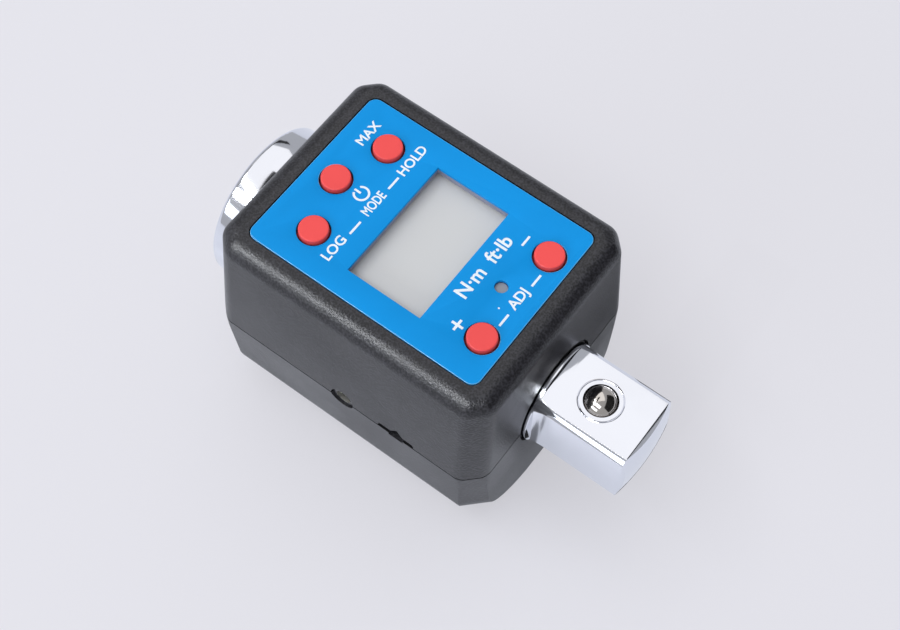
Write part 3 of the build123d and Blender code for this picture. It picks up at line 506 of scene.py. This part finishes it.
def add_tint(tree, shader, factor, colour, other):
    """Base colour that goes from one colour to another by a mask."""
    mix = tree.nodes.new("ShaderNodeMix")
    mix.data_type = "RGBA"
    mix.inputs["A"].default_value = colour
    mix.inputs["B"].default_value = other
    tree.links.new(factor, mix.inputs["Factor"])
    tree.links.new(mix.outputs["Result"], shader.inputs["Base Color"])


def add_smudges(tree, shader, low, high):
    """Gloss that goes from one roughness to another by the smudges. Gives the mask's socket."""
    marks = add_group(tree, shared("Handling", handling_group))
    gloss = place_range(tree, marks.outputs["Smudge"], 0.0, 1.0, low, high)
    tree.links.new(gloss.outputs["Result"], shader.inputs["Roughness"])
    return marks.outputs["Smudge"]


def lighter(colour, share):
    """A colour scaled, with its alpha kept."""
    return (colour[0] * share, colour[1] * share, colour[2] * share, 1.0)


def grained_plastic(name, colour, roughness, scale, strength, shine):
    """Moulded plastic with grain and a little uneven gloss."""
    material, tree, shader = new_material(name, colour, roughness)
    shader.inputs["Specular IOR Level"].default_value = shine
    grain = add_group(tree, shared("Moulded grain", grain_group), Scale=scale)
    add_bump(tree, shader, grain.outputs["Height"], strength, GRAIN_DEPTH)
    add_smudges(tree, shader, roughness - 0.04, roughness + 0.05)
    add_tint(tree, shader, grain.outputs["Peaks"], lighter(colour, 0.55), lighter(colour, 1.7))
    return material


def plain_plastic(name, colour, roughness, scale=1500.0, strength=0.08, shine=0.5):
    """Smooth moulded plastic or rubber with a faint texture."""
    material, tree, shader = new_material(name, colour, roughness)
    shader.inputs["Specular IOR Level"].default_value = shine
    grain = add_group(tree, shared("Moulded grain", grain_group), Scale=scale)
    add_bump(tree, shader, grain.outputs["Height"], strength, TEXTURE_DEPTH)
    smudge = add_smudges(tree, shader, roughness - 0.03, roughness + 0.05)
    add_tint(tree, shader, smudge, colour, lighter(colour, 0.93))
    return material


def metal(name, colour, roughness, wave=0.02, wave_scale=90.0):
    """Metal with a slow waviness in its polish and faint smudges."""
    material, tree, shader = new_material(name, colour, roughness, 1.0)
    smudge = add_smudges(tree, shader, roughness, roughness * 1.5)
    add_tint(tree, shader, smudge, colour, lighter(colour, 0.95))
    noise = place_noise(tree, wave_scale, 2.0, 0.5)
    add_bump(tree, shader, noise.outputs["Fac"], wave, WAVE_DEPTH)
    return material


def card_material(name, colour, other):
    """Matt material of a card, a little uneven. Gives the material and its shader."""
    material, tree, shader = new_material(name, colour, 0.9)
    noise = place_noise(tree, 3.0, 2.0, 0.5)
    add_tint(tree, shader, noise.outputs["Fac"], colour, other)
    return material, shader


def clear_sheet(name):
    """Clear window sheet with faint smudges in its gloss, which lets plain light straight through."""
    material, tree, shader = new_material(name, (0.97, 0.98, 0.98, 1.0), 0.03)
    shader.inputs["Transmission Weight"].default_value = 1.0
    shader.inputs["IOR"].default_value = 1.1
    add_smudges(tree, shader, 0.02, 0.07)
    path = tree.nodes.new("ShaderNodeLightPath")
    passed = place_larger(tree, path.outputs["Is Shadow Ray"], path.outputs["Is Diffuse Ray"])
    through = tree.nodes.new("ShaderNodeBsdfTransparent")
    ends = blend_ends(tree, passed, shader.outputs["BSDF"], through.outputs["BSDF"])
    tree.links.new(ends, tree.nodes["Material Output"].inputs["Surface"])
    return material


class ADAPTER_OT_stage(bpy.types.Operator):
    """Lay the pale sheet, hang the lamps and set the camera"""

    bl_idname = "adapter.stage"
    bl_label = "Studio"

    def execute(self, context):
        """Make the sheet, the lamps, the world and the camera."""
        colours = context.scene.adapter_colours
        self.lay_sheet(tuple(colours.sheet))
        self.hang_lamps()
        self.set_world()
        self.set_camera(context)
        return {"FINISHED"}

    def lay_sheet(self, colour):
        """Pale sheet with a soft sheen under the adapter. In what is glossy it glows bluish and brighter than
        it is lit: a painted reflection.
        """
        bpy.ops.object.select_all(action="DESELECT")
        bpy.ops.mesh.primitive_grid_add(x_subdivisions=8, y_subdivisions=8, size=6.0, location=(0, 0, 0))
        sheet = take("Sheet")
        material, tree, shader = new_material("Pale sheet", colour, 0.3)
        shader.inputs["Specular IOR Level"].default_value = 0.3
        noise = place_noise(tree, 5.0, 2.0, 0.5)
        add_tint(tree, shader, noise.outputs["Fac"], colour, lighter(colour, 0.98))
        # Painted reflection: glossy rays see the sheet as a bluish glow at 0.6 of its shading, which lightens
        # and cools the walls that mirror it.
        glow = tree.nodes.new("ShaderNodeEmission")
        path = tree.nodes.new("ShaderNodeLightPath")
        reflection_tint = tree.nodes.new("ShaderNodeMix")
        reflection_tint.data_type = "RGBA"
        reflection_tint.inputs["A"].default_value = colour
        reflection_tint.inputs["B"].default_value = (0.86, 0.90, 1.0, 1.0)
        tree.links.new(path.outputs["Is Glossy Ray"], reflection_tint.inputs["Factor"])
        tree.links.new(reflection_tint.outputs["Result"], glow.inputs["Color"])
        reflected_glow = place_range(tree, path.outputs["Is Glossy Ray"], 0.0, 1.0, 0.0, 0.6)
        seen = place_sum(tree, path.outputs["Is Camera Ray"], 0.6, reflected_glow.outputs["Result"])
        ends = blend_ends(tree, seen, shader.outputs["BSDF"], glow.outputs["Emission"])
        tree.links.new(ends, tree.nodes["Material Output"].inputs["Surface"])
        sheet.data.materials.append(material)

    def hang_lamps(self):
        """Soft lamps, with a bright card for the near rounding and dark screens for the steel's lines."""
        for name, place, aim, size, power, colour in LAMPS:
            self.hang(name, place, aim, size, power, colour)
        bright, shader = card_material("Bright card", (0.8, 0.8, 0.8, 1.0), (0.78, 0.78, 0.78, 1.0))
        shader.inputs["Emission Color"].default_value = (0.94, 0.97, 1.0, 1.0)
        shader.inputs["Emission Strength"].default_value = 24.0
        self.screen("Card near", (-0.31, -0.62, 0.76), (-0.31, -0.02, 0.04), (1.4, 0.17), bright)
        dark = card_material("Dark screen", (0.01, 0.01, 0.01, 1.0), (0.014, 0.014, 0.014, 1.0))[0]
        for name, place, aim, size in SCREENS:
            self.screen(name, place, aim, size, dark)

    def screen(self, name, place, aim, size, material):
        """Card that only shows in what is glossy."""
        way = Vector(aim) - Vector(place)
        bpy.ops.object.select_all(action="DESELECT")
        bpy.ops.mesh.primitive_grid_add(x_subdivisions=2, y_subdivisions=2, size=1.0, location=place,
                                        rotation=way.to_track_quat("Z", "Y").to_euler())
        card = take(name)
        card.scale = (size[0], size[1], 1.0)
        settle(card)
        card.data.materials.append(material)
        card.visible_camera = False
        card.visible_diffuse = False
        card.visible_shadow = False
        card.visible_transmission = False

    def hang(self, name, place, aim, size, power, colour):
        """Rectangular lamp at a place, turned to a point."""
        way = Vector(aim) - Vector(place)
        turn = way.to_track_quat("-Z", "Y").to_euler()
        bpy.ops.object.light_add(type="AREA", location=place, rotation=turn)
        lamp = take(name)
        lamp.data.shape = "RECTANGLE"
        lamp.data.size = size[0]
        lamp.data.size_y = size[1]
        lamp.data.energy = power
        lamp.data.color = colour

    def set_world(self):
        """Even surroundings: near white to the camera and through glass, dimmer in gloss and as light."""
        world = bpy.data.worlds.new("Studio")
        world.use_nodes = True
        tree = world.node_tree
        shown = tree.nodes["Background"]
        mirror = tree.nodes.new("ShaderNodeBackground")
        lit = tree.nodes.new("ShaderNodeBackground")
        for node, colour, strength in ((shown, (0.90, 0.90, 0.93, 1.0), 1.0),
                                       (mirror, (0.93, 0.95, 1.0, 1.0), 0.52),
                                       (lit, (0.93, 0.95, 1.0, 1.0), 0.56)):
            node.inputs["Color"].default_value = colour
            node.inputs["Strength"].default_value = strength
        path = tree.nodes.new("ShaderNodeLightPath")
        seen = place_larger(tree, path.outputs["Is Camera Ray"], path.outputs["Is Transmission Ray"])
        ends = blend_ends(tree, path.outputs["Is Glossy Ray"], lit.outputs["Background"],
                          mirror.outputs["Background"])
        ends = blend_ends(tree, seen, ends, shown.outputs["Background"])
        tree.links.new(ends, tree.nodes["World Output"].inputs["Surface"])
        bpy.context.scene.world = world
        bpy.context.scene.view_settings.view_transform = "Standard"

    def set_camera(self, context):
        """Camera above the near front corner, turned so that the shaft runs down to the right."""
        bpy.ops.object.camera_add()
        camera = take("Camera")
        right = Vector(CAMERA_RIGHT)
        up = Vector(CAMERA_UP)
        back = right.cross(up).normalized()
        up = back.cross(right.normalized())
        turn = Matrix((right.normalized(), up, back)).transposed().to_4x4()
        camera.matrix_world = Matrix.Translation(CAMERA_PLACE) @ turn
        camera.data.lens = CAMERA_LENS
        camera.data.sensor_width = 36.0
        camera.data.clip_start = 0.01
        context.scene.camera = camera


class ADAPTER_OT_housing(bpy.types.Operator):
    """Dress the two moulded shells and the battery door, and fill the strap notch"""

    bl_idname = "adapter.housing"
    bl_label = "Housing"

    def execute(self, context):
        """Copy each shell, give it grained plastic and paint shade into the groove along the parting line."""
        sizes = context.scene.adapter_sizes
        colour = tuple(context.scene.adapter_colours.housing)
        plastic = grained_plastic("Black moulded plastic", colour, 0.34, 3400.0, sizes.grain, 0.40)
        # Painted shade: the faces in the parting groove get a near-black plastic, darker than the shells, for
        # the shade that falls in the groove.
        groove = plain_plastic("Painted groove shade", (0.004, 0.004, 0.005, 1.0), 0.8, 2500.0, 0.1, 0.1)
        self.parting = mm(PARTING)
        for node, name in (("upper_shell", "shell_top"), ("lower_shell", "shell_belly"),
                           ("battery_door", "door_panel")):
            piece = merged_copy(node, name)
            if node == "lower_shell":
                break_edges(piece, sizes.belly_round, 4, self.is_belly_crease)
            smooth(piece, 28.0)
            body = "door" if node == "battery_door" else "housing"
            finish_piece(piece, body, plastic, (node,))
            if body == "housing":
                second_finish(piece, groove, lambda face: self.in_groove(piece, face))
        finish_piece(self.strap_pad(), "housing", plastic)
        return {"FINISHED"}

    def is_belly_crease(self, edge):
        """Whether an edge is a long outer crease of the lower shell, away from the parting line."""
        if len(edge.link_faces) != 2 or edge.calc_length() < mm(CREASE_LENGTH):
            return False
        if edge.calc_face_angle() < math.radians(CREASE_TURN):
            return False
        middle = (edge.verts[0].co + edge.verts[1].co) / 2
        outward = Vector((0, middle.y, middle.z - self.parting))
        faces_out = all(face.normal.dot(outward) > 0.3 * outward.length for face in edge.link_faces)
        return faces_out and max(vertex.co.z for vertex in edge.verts) < self.parting - mm(CREASE_MARGIN)

    def strap_pad(self):
        """Half-round pad that fills the strap notch but for a shallow arch over the slot."""
        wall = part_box("lower_shell")[0].y
        foot = self.parting + mm(PAD_FOOT)
        pad = self.rod("strap_pad", 128, NOTCH_RADIUS, NOTCH_DEPTH, wall + mm(NOTCH_DEPTH) / 2, self.parting)
        bpy.ops.object.mode_set(mode="EDIT")
        bpy.ops.mesh.select_all(action="SELECT")
        bpy.ops.mesh.bisect(plane_co=(0, 0, foot), plane_no=(0, 0, 1), use_fill=True, clear_inner=True)
        bpy.ops.object.mode_set(mode="OBJECT")
        radius = (NOTCH_RADIUS ** 2 + ARCH_RISE ** 2) / (2 * ARCH_RISE)
        centre = foot + mm(ARCH_RISE - radius)
        self.cut_away(pad, self.rod("arch_tool", 256, radius, 2 * ARCH_DEPTH, wall, centre))
        self.cut_away(pad, self.rod("slot_tool", 4, SLOT_RADIUS, 4 * NOTCH_DEPTH, wall, foot))
        for vertex in pad.data.vertices:
            vertex.co.y += (vertex.co.z - self.parting) * math.tan(math.radians(WALL_SLOPE))
        return smooth(pad, 30.0)

    def rod(self, name, corners, radius, depth, y, z):
        """Bar along Y at the notch, with its place in its mesh."""
        bpy.ops.object.select_all(action="DESELECT")
        bpy.ops.mesh.primitive_cylinder_add(vertices=corners, radius=mm(radius), depth=mm(depth),
                                            location=(mm(NOTCH_X), y, z), rotation=(math.radians(90), 0, 0))
        return settle(take(name))

    def cut_away(self, piece, tool):
        """Take a tool's form away from a piece, and the tool with it."""
        alone(piece)
        cut = piece.modifiers.new("Cut", "BOOLEAN")
        cut.operation = "DIFFERENCE"
        cut.object = tool
        cut.solver = "EXACT"
        bpy.ops.object.modifier_apply(modifier=cut.name)
        bpy.data.objects.remove(tool)

    def in_groove(self, piece, face):
        """Whether a face lies wholly in the groove between the two shells."""
        heights = [piece.data.vertices[place].co.z for place in face.vertices]
        reach = mm(GROOVE_REACH)
        return max(heights) < self.parting + reach and min(heights) > self.parting - reach


class ADAPTER_OT_panel(bpy.types.Operator):
    """Dress the face panel"""

    bl_idname = "adapter.panel"
    bl_label = "Face panel"

    def execute(self, context):
        """Copy the plate, round its edges and give it satin blue, paler and shinier on the rounding of its
        outer cut edge: partly the cut edge's own tone, partly a painted highlight line.
        """
        colour = tuple(context.scene.adapter_colours.panel)
        blue = plain_plastic("Satin blue", colour, 0.36, 2500.0, 0.06, 0.08)
        # The pale blue on the outer edge's rounding is partly the plate's cut edge and partly a painted
        # highlight line.
        cut = plain_plastic("Cut edge with painted highlight", linear(110, 190, 240), 0.3, 2500.0, 0.06, 0.5)
        piece = merged_copy("face_panel", "blue_plate")
        self.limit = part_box("face_panel")[1] - Vector((mm(CUT_REACH), mm(CUT_REACH), 0))
        bevel(piece, context.scene.adapter_sizes.panel_edge, 2, 40.0)
        smooth(piece, 50.0)
        finish_piece(piece, "housing", blue, ("face_panel",))
        second_finish(piece, cut, self.is_cut)
        return {"FINISHED"}

    def is_cut(self, face):
        """Whether a face is part of the rounding along the plate's outer edge."""
        outer = abs(face.center.x) > self.limit.x or abs(face.center.y) > self.limit.y
        return 0.3 < face.normal.z < 0.95 and outer


class ADAPTER_OT_legends(bpy.types.Operator):
    """Print the generic words, dashes and signs on the face panel"""

    bl_idname = "adapter.legends"
    bl_label = "Printed marks"

    def execute(self, context):
        """Make each word, dash and sign as a thin layer of ink."""
        sizes = context.scene.adapter_sizes
        self.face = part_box("face_panel")[1].z
        self.rise = sizes.ink_rise
        colour = tuple(context.scene.adapter_colours.ink)
        self.ink, tree, shader = new_material("White ink", colour, 0.4)
        marks = add_group(tree, shared("Handling", handling_group))
        add_tint(tree, shader, marks.outputs["Smudge"], colour, lighter(colour, 0.94))
        for number, (words, x, y, height, narrowed) in enumerate(LINES):
            self.word("word_%d" % number, words, (x, y), height, narrowed, sizes.ink_weight)
        for number, (x, y, length) in enumerate(DASHES):
            self.bar("dash_%d" % number, x, y, sizes.dash_width, mm(length))
        self.plus_sign(sizes.dash_width * 1.15)
        x, y, width = DOT_PLACE
        self.bar("ink_dot", x, y, mm(width), mm(width))
        self.power_sign(sizes.dash_width)
        return {"FINISHED"}

    def lay(self, piece):
        """Let a mark ride on the housing as ink of the panel."""
        finish_piece(piece, "housing", self.ink)

    def word(self, name, words, spot, height, narrowed, weight):
        """Letters that read along +Y, thickened and made a mesh before they are placed."""
        bpy.ops.object.select_all(action="DESELECT")
        bpy.ops.object.text_add(location=(0, 0, 0))
        piece = take(name)
        piece.data.body = words
        piece.data.align_x = "CENTER"
        piece.data.align_y = "CENTER"
        piece.data.size = 1.0
        piece.data.extrude = 0.01
        piece.data.bevel_depth = weight
        piece.data.bevel_resolution = 0
        piece.data.resolution_u = 4
        bpy.ops.object.convert(target="MESH")
        piece = take(name)
        low = min(v.co.y for v in piece.data.vertices)
        high = max(v.co.y for v in piece.data.vertices)
        scale = mm(height) / CAPITAL
        centre = (low + high) / 2
        place = Matrix.Translation((mm(spot[0]), mm(spot[1]), self.face + self.rise / 2))
        place = place @ Matrix.Rotation(math.radians(90), 4, "Z")
        place = place @ Matrix.Diagonal((scale * narrowed, scale, self.rise / (0.02 + 2 * weight), 1.0))
        piece.data.transform(place @ Matrix.Translation((0, -centre, 0)))
        self.lay(piece)

    def bar(self, name, x, y, size_x, size_y):
        """Short printed stroke with softened corners."""
        bpy.ops.object.select_all(action="DESELECT")
        bpy.ops.mesh.primitive_cube_add(size=1.0, location=(mm(x), mm(y), self.face + self.rise / 2))
        piece = take(name)
        piece.scale = (size_x, size_y, self.rise)
        settle(piece)
        bpy.ops.object.mode_set(mode="EDIT")
        pick(piece, "EDGE", lambda e: abs(e.verts[0].co.z - e.verts[1].co.z) > self.rise / 2)
        bpy.ops.mesh.bevel(offset=min(size_x, size_y) * 0.2, segments=3)
        bpy.ops.object.mode_set(mode="OBJECT")
        self.lay(piece)

    def plus_sign(self, width):
        """One cross: a square from which four arms are drawn out."""
        x, y, length = PLUS_PLACE
        bpy.ops.object.select_all(action="DESELECT")
        bpy.ops.mesh.primitive_cube_add(size=1.0, location=(mm(x), mm(y), self.face + self.rise / 2))
        piece = take("plus_sign")
        piece.scale = (width, width, self.rise)
        settle(piece)
        reach = (mm(length) - width) / 2
        bpy.ops.object.mode_set(mode="EDIT")
        for way in ((1, 0), (-1, 0), (0, 1), (0, -1)):
            heading = Vector((way[0], way[1], 0))
            pick(piece, "FACE", lambda f: f.normal.dot(heading) > 0.9 and self.is_core(f, x, y, width))
            bpy.ops.mesh.extrude_region_move(TRANSFORM_OT_translate={"value": heading * reach})
        bpy.ops.object.mode_set(mode="OBJECT")
        self.lay(piece)

    def is_core(self, face, x, y, width):
        """Whether a face lies on the square in the middle of the cross."""
        middle = face.calc_center_median()
        return math.hypot(middle.x - mm(x), middle.y - mm(y)) < width * 0.6

    def power_sign(self, width):
        """Open ring with a stroke in its gap, which lies on the side that the letters' tops point to."""
        x, y, radius = POWER_PLACE
        centre = Vector((mm(x), mm(y), self.face))
        half = math.radians(RING_HALF)
        bpy.ops.object.select_all(action="DESELECT")
        bpy.ops.mesh.primitive_plane_add(size=1.0, location=centre + Vector((mm(radius), 0, 0)))
        piece = take("power_ring")
        piece.scale = (width, width, 1.0)
        settle(piece)
        bpy.ops.object.mode_set(mode="EDIT")
        bpy.ops.mesh.select_all(action="SELECT")
        bpy.ops.mesh.delete(type="ONLY_FACE")
        pick(piece, "EDGE", lambda e: max(v.co.y for v in e.verts) < centre.y)
        bpy.ops.mesh.select_all(action="INVERT")
        bpy.ops.mesh.delete(type="EDGE")
        form = bmesh.from_edit_mesh(piece.data)
        for vertex in form.verts:
            vertex.co = centre + Matrix.Rotation(half, 3, "Z") @ (vertex.co - centre)
        bmesh.update_edit_mesh(piece.data)
        bpy.ops.mesh.select_all(action="SELECT")
        bpy.ops.mesh.spin(steps=48, angle=2 * half, center=centre, axis=(0, 0, 1))
        bpy.ops.mesh.select_all(action="SELECT")
        bpy.ops.mesh.extrude_region_move(TRANSFORM_OT_translate={"value": (0, 0, self.rise)})
        bpy.ops.mesh.select_all(action="SELECT")
        bpy.ops.mesh.normals_make_consistent(inside=False)
        bpy.ops.object.mode_set(mode="OBJECT")
        self.lay(piece)
        self.bar("power_stroke", x - radius * STROKE_PLACE, y, mm(radius) * STROKE_LENGTH, width)


class ADAPTER_OT_keys(bpy.types.Operator):
    """Model the round key once and copy it to its five places"""

    bl_idname = "adapter.keys"
    bl_label = "Keys"

    def execute(self, context):
        """Model one key, then copy it over each solid."""
        sizes = context.scene.adapter_sizes
        colour = tuple(context.scene.adapter_colours.keys)
        red = plain_plastic("Red key", colour, 0.42, 2600.0, 0.12, 0.15)
        model = self.key_model(sizes)
        low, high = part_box("key_power")
        middle = (low + high) / 2
        for name in KEY_NAMES:
            low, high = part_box("key_" + name)
            piece = bpy.data.objects.new("cap_" + name, model.data.copy())
            context.scene.collection.objects.link(piece)
            piece.data.name = piece.name
            piece.data.transform(Matrix.Translation((low + high) / 2 - middle))
            finish_piece(piece, "key_" + name + "_body", red, ("key_" + name,))
        bpy.data.objects.remove(model)
        return {"FINISHED"}

    def key_model(self, sizes):
        """Cap with a rounded rim and a shallow dish, flange and stem below."""
        low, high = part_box("key_power")
        centre = (low + high) / 2
        high.z -= sizes.key_sink
        flange = (high.x - low.x) / 2
        cap = flange - mm(KEY_FLANGE)
        flange_top = low.z + mm(FLANGE_TOP)
        bpy.ops.object.select_all(action="DESELECT")
        bpy.ops.mesh.primitive_cylinder_add(vertices=96, radius=cap, depth=high.z - flange_top,
                                            location=(centre.x, centre.y, (high.z + flange_top) / 2))
        piece = take("key_model")
        settle(piece)
        bpy.ops.object.mode_set(mode="EDIT")
        pick(piece, "EDGE", lambda e: min(v.co.z for v in e.verts) > high.z - 0.00001)
        bpy.ops.mesh.bevel(offset=sizes.key_round, segments=6)
        pick(piece, "FACE", lambda f: len(f.verts) > 8 and f.normal.z > 0.9)
        bpy.ops.mesh.inset(thickness=mm(DISH_RIM))
        for step, share in DISH_STEPS:
            bpy.ops.mesh.inset(thickness=mm(step))
            top = high.z - sizes.key_crown * share
            form = bmesh.from_edit_mesh(piece.data)
            for vertex in form.verts:
                if vertex.select:
                    vertex.co.z = top
            bmesh.update_edit_mesh(piece.data)
        pick(piece, "FACE", lambda f: len(f.verts) > 8 and f.normal.z < -0.9)
        bpy.ops.mesh.extrude_region_move()
        bpy.ops.transform.resize(value=(flange / cap, flange / cap, 1.0),
                                 center_override=(centre.x, centre.y, flange_top))
        down = {"value": (0, 0, -mm(FLANGE_THICK))}
        bpy.ops.mesh.extrude_region_move(TRANSFORM_OT_translate=down)
        bpy.ops.mesh.extrude_region_move()
        stem = mm(KEY_STEM) / flange
        bpy.ops.transform.resize(value=(stem, stem, 1.0),
                                 center_override=(centre.x, centre.y, flange_top - mm(FLANGE_THICK)))
        bpy.ops.mesh.extrude_region_move(TRANSFORM_OT_translate=down)
        bpy.ops.mesh.select_all(action="SELECT")
        bpy.ops.mesh.normals_make_consistent(inside=False)
        bpy.ops.object.mode_set(mode="OBJECT")
        return smooth(piece, 35.0)


class ADAPTER_OT_display(bpy.types.Operator):
    """Dress the display, its frame, the clear window and the lamp lens"""

    bl_idname = "adapter.display"
    bl_label = "Display"

    def execute(self, context):
        """Give the display film, the grey frame, paler to lift the shade it lies in, the window and the sunk
        lens their materials.
        """
        colour = tuple(context.scene.adapter_colours.display)
        film, tree, shader = new_material("Display film", colour, 0.28)
        slow = place_noise(tree, 45.0, 1.0, 0.5)
        add_tint(tree, shader, slow.outputs["Fac"], lighter(colour, 1.03), lighter(colour, 0.96))
        fine = place_noise(tree, 9000.0, 2.0, 0.6)
        add_bump(tree, shader, fine.outputs["Fac"], 0.05, FILM_DEPTH)
        paint("lcd_glass", film)
        # Painted light: the frame's colour is several times paler and bluer than a grey frame, so that its
        # wall in the window's shade shows light.
        paint("lcd_frame", plain_plastic("Frame lightened against shade", linear(140, 142, 162), 0.5, 2500.0, 0.2))
        paint("display_window", clear_sheet("Clear window"))
        lens = plain_plastic("Frosted lens", linear(150, 151, 156), 0.3, 4000.0, 0.15)
        piece = merged_copy("led_lens", "lamp_lens")
        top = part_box("led_lens")[1].z
        for vertex in piece.data.vertices:
            if vertex.co.z > top - mm(SLACK):
                vertex.co.z -= mm(LENS_SINK)
        smooth(piece, 30.0)
        finish_piece(piece, "housing", lens, ("led_lens",))
        return {"FINISHED"}


class ADAPTER_OT_shaft(bpy.types.Operator):
    """Dress the plated drive shaft and the detent ball"""

    bl_idname = "adapter.shaft"
    bl_label = "Drive shaft"

    def execute(self, context):
        """Copy the shaft and the ball with smooth skins, and give them their metals."""
        plating = tuple(context.scene.adapter_colours.plating)
        chrome = metal("Bright plating", plating, 0.07, 0.012, 110.0)
        piece = merged_copy("drive_shaft", "plated_shaft")
        edge = context.scene.adapter_sizes.steel_edge
        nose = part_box("drive_shaft")[1].x - mm(NOSE_LENGTH)
        low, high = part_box("detent_ball")
        ball = (low + high) / 2
        self.open_stake_ring(piece, ball)
        break_edges(piece, edge * 2.2, 3, lambda e: self.is_sharp(e, ball) and self.low_x(e) > nose)
        break_edges(piece, edge, 2, lambda e: self.is_sharp(e, ball) and self.low_x(e) < nose)
        smooth(piece, 24.0)
        finish_piece(piece, "housing", chrome, ("drive_shaft",))
        piece = merged_copy("detent_ball", "steel_ball")
        smooth(piece, 60.0)
        steel = metal("Ball steel", (0.60, 0.56, 0.52, 1.0), 0.10)
        finish_piece(piece, "ball", steel, ("detent_ball",))
        return {"FINISHED"}

    def low_x(self, edge):
        """Lower X of an edge's ends."""
        return min(vertex.co.x for vertex in edge.verts)

    def is_sharp(self, edge, ball):
        """Whether an edge has a sharp turn and lies away from the ball hole."""
        if len(edge.link_faces) != 2 or edge.calc_face_angle() < math.radians(SHARP_TURN):
            return False
        middle = (edge.verts[0].co + edge.verts[1].co) / 2
        away = math.hypot(middle.x - ball.x, middle.y - ball.y)
        return away > mm(SHARP_REACH) or middle.z < ball.z - mm(SHARP_DEPTH)

    def open_stake_ring(self, piece, ball):
        """Turn the square floor of the staked ring into the foot of a V."""
        middle = mm(STAKE_INNER + STAKE_OUTER) / 2
        flats = max(v.co.z for v in piece.data.vertices if v.co.x > ball.x)
        for vertex in piece.data.vertices:
            away = Vector((vertex.co.x - ball.x, vertex.co.y - ball.y, 0))
            in_ring = mm(STAKE_INNER - SLACK) < away.length < mm(STAKE_OUTER + SLACK)
            if in_ring and flats - mm(STAKE_DEEP) < vertex.co.z < flats - mm(STAKE_SHALLOW):
                vertex.co += away * (middle / away.length - 1)


class ADAPTER_OT_works(bpy.types.Operator):
    """Dress the jack, the spring, the seals, the fasteners and the pieces inside the housing"""

    bl_idname = "adapter.works"
    bl_label = "Jack, fasteners and inside"

    def execute(self, context):
        """Copy the jack and the spring, and give each solid that is left the material of its finish."""
        jack = merged_copy("data_jack", "jack_barrel")
        smooth(jack, 30.0)
        gloss = plain_plastic("Jack plastic", (0.02, 0.02, 0.022, 1.0), 0.25, 2000.0, 0.08)
        finish_piece(jack, "housing", gloss, ("data_jack",))
        sleeve = metal("Jack sleeve", (0.70, 0.69, 0.66, 1.0), 0.25, 0.03, 500.0)
        second_finish(jack, sleeve, self.in_bore)
        self.dress_spring()
        for covered, maker in ((METALS, metal), (PLASTICS, plain_plastic)):
            for solids, name, colour, roughness, first, second in covered:
                material = maker(name, colour, roughness, first, second)
                for node in solids:
                    paint(node, material)
        return {"FINISHED"}

    def dress_spring(self):
        """Give the ball's spring a smooth copy with a mesh of its own."""
        wire = metal("Spring wire", (0.45, 0.45, 0.46, 1.0), 0.3, 0.03, 900.0)
        coil = merged_copy("detent_spring", "spring_coil")
        smooth(coil, 40.0)
        finish_piece(coil, "housing", wire, ("detent_spring",))
        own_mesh(coil)

    def in_bore(self, face):
        """Whether a face of the jack lies on the wall of its bore."""
        low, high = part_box("data_jack")
        centre = (low + high) / 2
        away = math.hypot(face.center.x - centre.x, face.center.z - mm(PARTING))
        return abs(face.normal.y) < 0.5 and away < mm(BORE_REACH)


class ADAPTER_PT_panel(bpy.types.Panel):
    """Buttons for the stage and each group of pieces"""

    bl_idname = "ADAPTER_PT_panel"
    bl_label = "Torque adapter"
    bl_space_type = "VIEW_3D"
    bl_region_type = "UI"
    bl_category = "Torque adapter"

    def draw(self, context):
        """List the operators, then the sizes and colours."""
        layout = self.layout
        for operator in OPERATORS:
            layout.operator(operator.bl_idname)
        for group in (context.scene.adapter_sizes, context.scene.adapter_colours):
            for name in group.__annotations__:
                layout.prop(group, name)


GROUPS = (AdapterSizes, AdapterColours)
OPERATORS = (ADAPTER_OT_stage, ADAPTER_OT_housing, ADAPTER_OT_panel, ADAPTER_OT_legends, ADAPTER_OT_keys,
             ADAPTER_OT_display, ADAPTER_OT_shaft, ADAPTER_OT_works)


def register():
    """Register the classes and hang the property groups on the scene."""
    for item in GROUPS + OPERATORS + (ADAPTER_PT_panel,):
        bpy.utils.register_class(item)
    bpy.types.Scene.adapter_sizes = bpy.props.PointerProperty(type=AdapterSizes)
    bpy.types.Scene.adapter_colours = bpy.props.PointerProperty(type=AdapterColours)


def unregister():
    """Take the property groups and the classes away again."""
    del bpy.types.Scene.adapter_colours
    del bpy.types.Scene.adapter_sizes
    for item in reversed(GROUPS + OPERATORS + (ADAPTER_PT_panel,)):
        bpy.utils.unregister_class(item)


def main():
    """Dress the adapter."""
    register()
    bpy.ops.adapter.stage()
    bpy.ops.adapter.housing()
    bpy.ops.adapter.panel()
    bpy.ops.adapter.legends()
    bpy.ops.adapter.keys()
    bpy.ops.adapter.display()
    bpy.ops.adapter.shaft()
    bpy.ops.adapter.works()


if __name__ == "__main__":
    main()
